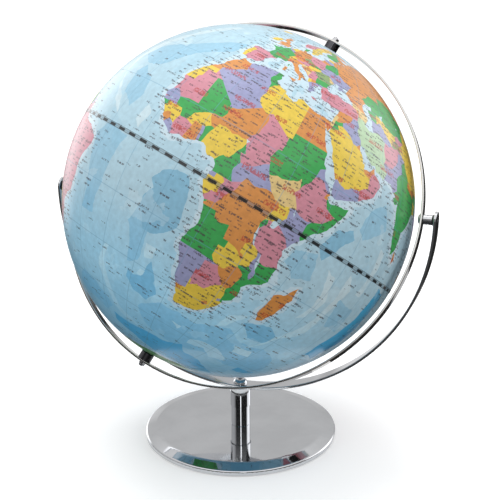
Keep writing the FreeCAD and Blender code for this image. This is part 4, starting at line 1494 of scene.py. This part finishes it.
# Soft round lamps seen in the metal and varnish: direction, height, inner and outer angle, brightness.
LAMPS = (
    (138, 14, 12, 24, 2.6),
    (118, 24, 10, 16, 1.8),
    (-133, 77, 5, 16, 2.4),
    (-125, 4, 10, 24, 2.2),
    (-158, -14, 10, 20, 0.85),
    (24, 27, 2, 5, 3.0),
)


def direction(turn, height):
    """The unit vector of a compass direction, 0 towards -Y and 90 towards +X, and a height angle."""
    across = math.radians(turn)
    up = math.radians(height)
    return Vector((math.sin(across) * math.cos(up), -math.cos(across) * math.cos(up), math.sin(up)))


def floor(name, paper, inner, outer, in_reflections):
    """A flat disc or ring of paper under the object. It bounces no light onto the object."""
    spots = []
    for radius in (inner, outer):
        for step in range(FLOOR_SIDES):
            turn = 2 * math.pi * step / FLOOR_SIDES
            spots.append((radius * math.cos(turn), radius * math.sin(turn), 0.0))
    faces = [tuple(range(FLOOR_SIDES, 2 * FLOOR_SIDES))]
    if inner:
        faces = []
        for step in range(FLOOR_SIDES):
            ahead = (step + 1) % FLOOR_SIDES
            faces.append((step, FLOOR_SIDES + step, FLOOR_SIDES + ahead, ahead))
    mesh = bpy.data.meshes.new(name)
    mesh.from_pydata(spots, [], faces)
    sheet = bpy.data.objects.new(name, mesh)
    bpy.context.scene.collection.objects.link(sheet)
    mesh.materials.append(paper)
    sheet.visible_glossy = in_reflections
    sheet.visible_diffuse = False


def soft_light(name, turn, height, distance, size, power):
    """A square softbox that faces the ball from a compass direction and a height angle."""
    light = bpy.data.lights.new(name, "AREA")
    light.shape = "SQUARE"
    light.size = size
    light.energy = power
    lamp = bpy.data.objects.new(name, light)
    bpy.context.scene.collection.objects.link(lamp)
    way = direction(turn, height)
    lamp.location = BALL_CENTRE + way * distance
    lamp.rotation_euler = way.to_track_quat("Z", "Y").to_euler()
    lamp.visible_glossy = False


def studio_world():
    """White behind the object, a soft sky for shading, and dark and bright panels for the metal."""
    world = bpy.data.worlds.new("studio")
    bpy.context.scene.world = world
    world.use_nodes = True
    w = NodeWork(world.node_tree)
    view = w.node("TexCoord", "Generated")
    height = w.parts(view)[2]
    level = w.math("MULTIPLY_ADD", height, 0.5, 0.5)
    front = w.along(view, direction(CAMERA_TURN, 0))
    right = w.along(view, direction(CAMERA_TURN + 90, 0))
    far_left = w.spread(right, *LEFT_WALL_EDGE, 1.0, 0.0)
    left_wall = w.math("MULTIPLY", far_left, w.spread(height, *LEFT_WALL_FOOT, 0.0, 1.0))
    ahead = w.mix(left_wall, w.ramp(level, FRONT_PANELS), grey(LEFT_WALL_LEVEL))
    panels = w.mix(w.spread(front, *FRONT_EDGE, 0.0, 1.0), w.ramp(level, BACK_PANELS), ahead)
    for turn, rise, inner, outer, strength in LAMPS:
        reach = w.along(view, direction(turn, rise))
        in_lamp = w.spread(reach, math.cos(math.radians(outer)), math.cos(math.radians(inner)), 0.0, 1.0)
        panels = w.mix(in_lamp, panels, grey(strength))
    light_path = w.nodes.new("ShaderNodeLightPath")
    colour = w.mix(light_path.outputs["Is Glossy Ray"], w.ramp(level, SKY_LEVELS), panels)
    colour = w.mix(light_path.outputs["Is Camera Ray"], colour, grey(1.0))
    w.feed(w.nodes["Background"].inputs["Color"], colour)


def set_camera():
    """The photograph's viewing angle."""
    data = bpy.data.cameras.new("camera")
    data.sensor_width = CAMERA_SENSOR
    data.lens = CAMERA_LENS
    camera = bpy.data.objects.new("camera", data)
    bpy.context.scene.collection.objects.link(camera)
    camera.location = CAMERA_PLACE
    camera.rotation_euler = [math.radians(angle) for angle in CAMERA_ANGLES]
    bpy.context.scene.camera = camera


floor_paper = rough_surface(
    "floor_paper", (0.90, 0.90, 0.90), 0.8, 3.0, 0.02, 0.001, 0.01,
    Emission_Color=grey(1.0), Emission_Strength=FLOOR_GLOW,
)
studio_world()
floor("near_floor", floor_paper, 0.0, NEAR_FLOOR, True)
floor("far_floor", floor_paper, NEAR_FLOOR, FAR_FLOOR, False)
for softbox in SOFTBOXES:
    soft_light(*softbox)
set_camera()
bpy.context.scene.view_settings.view_transform = "Standard"
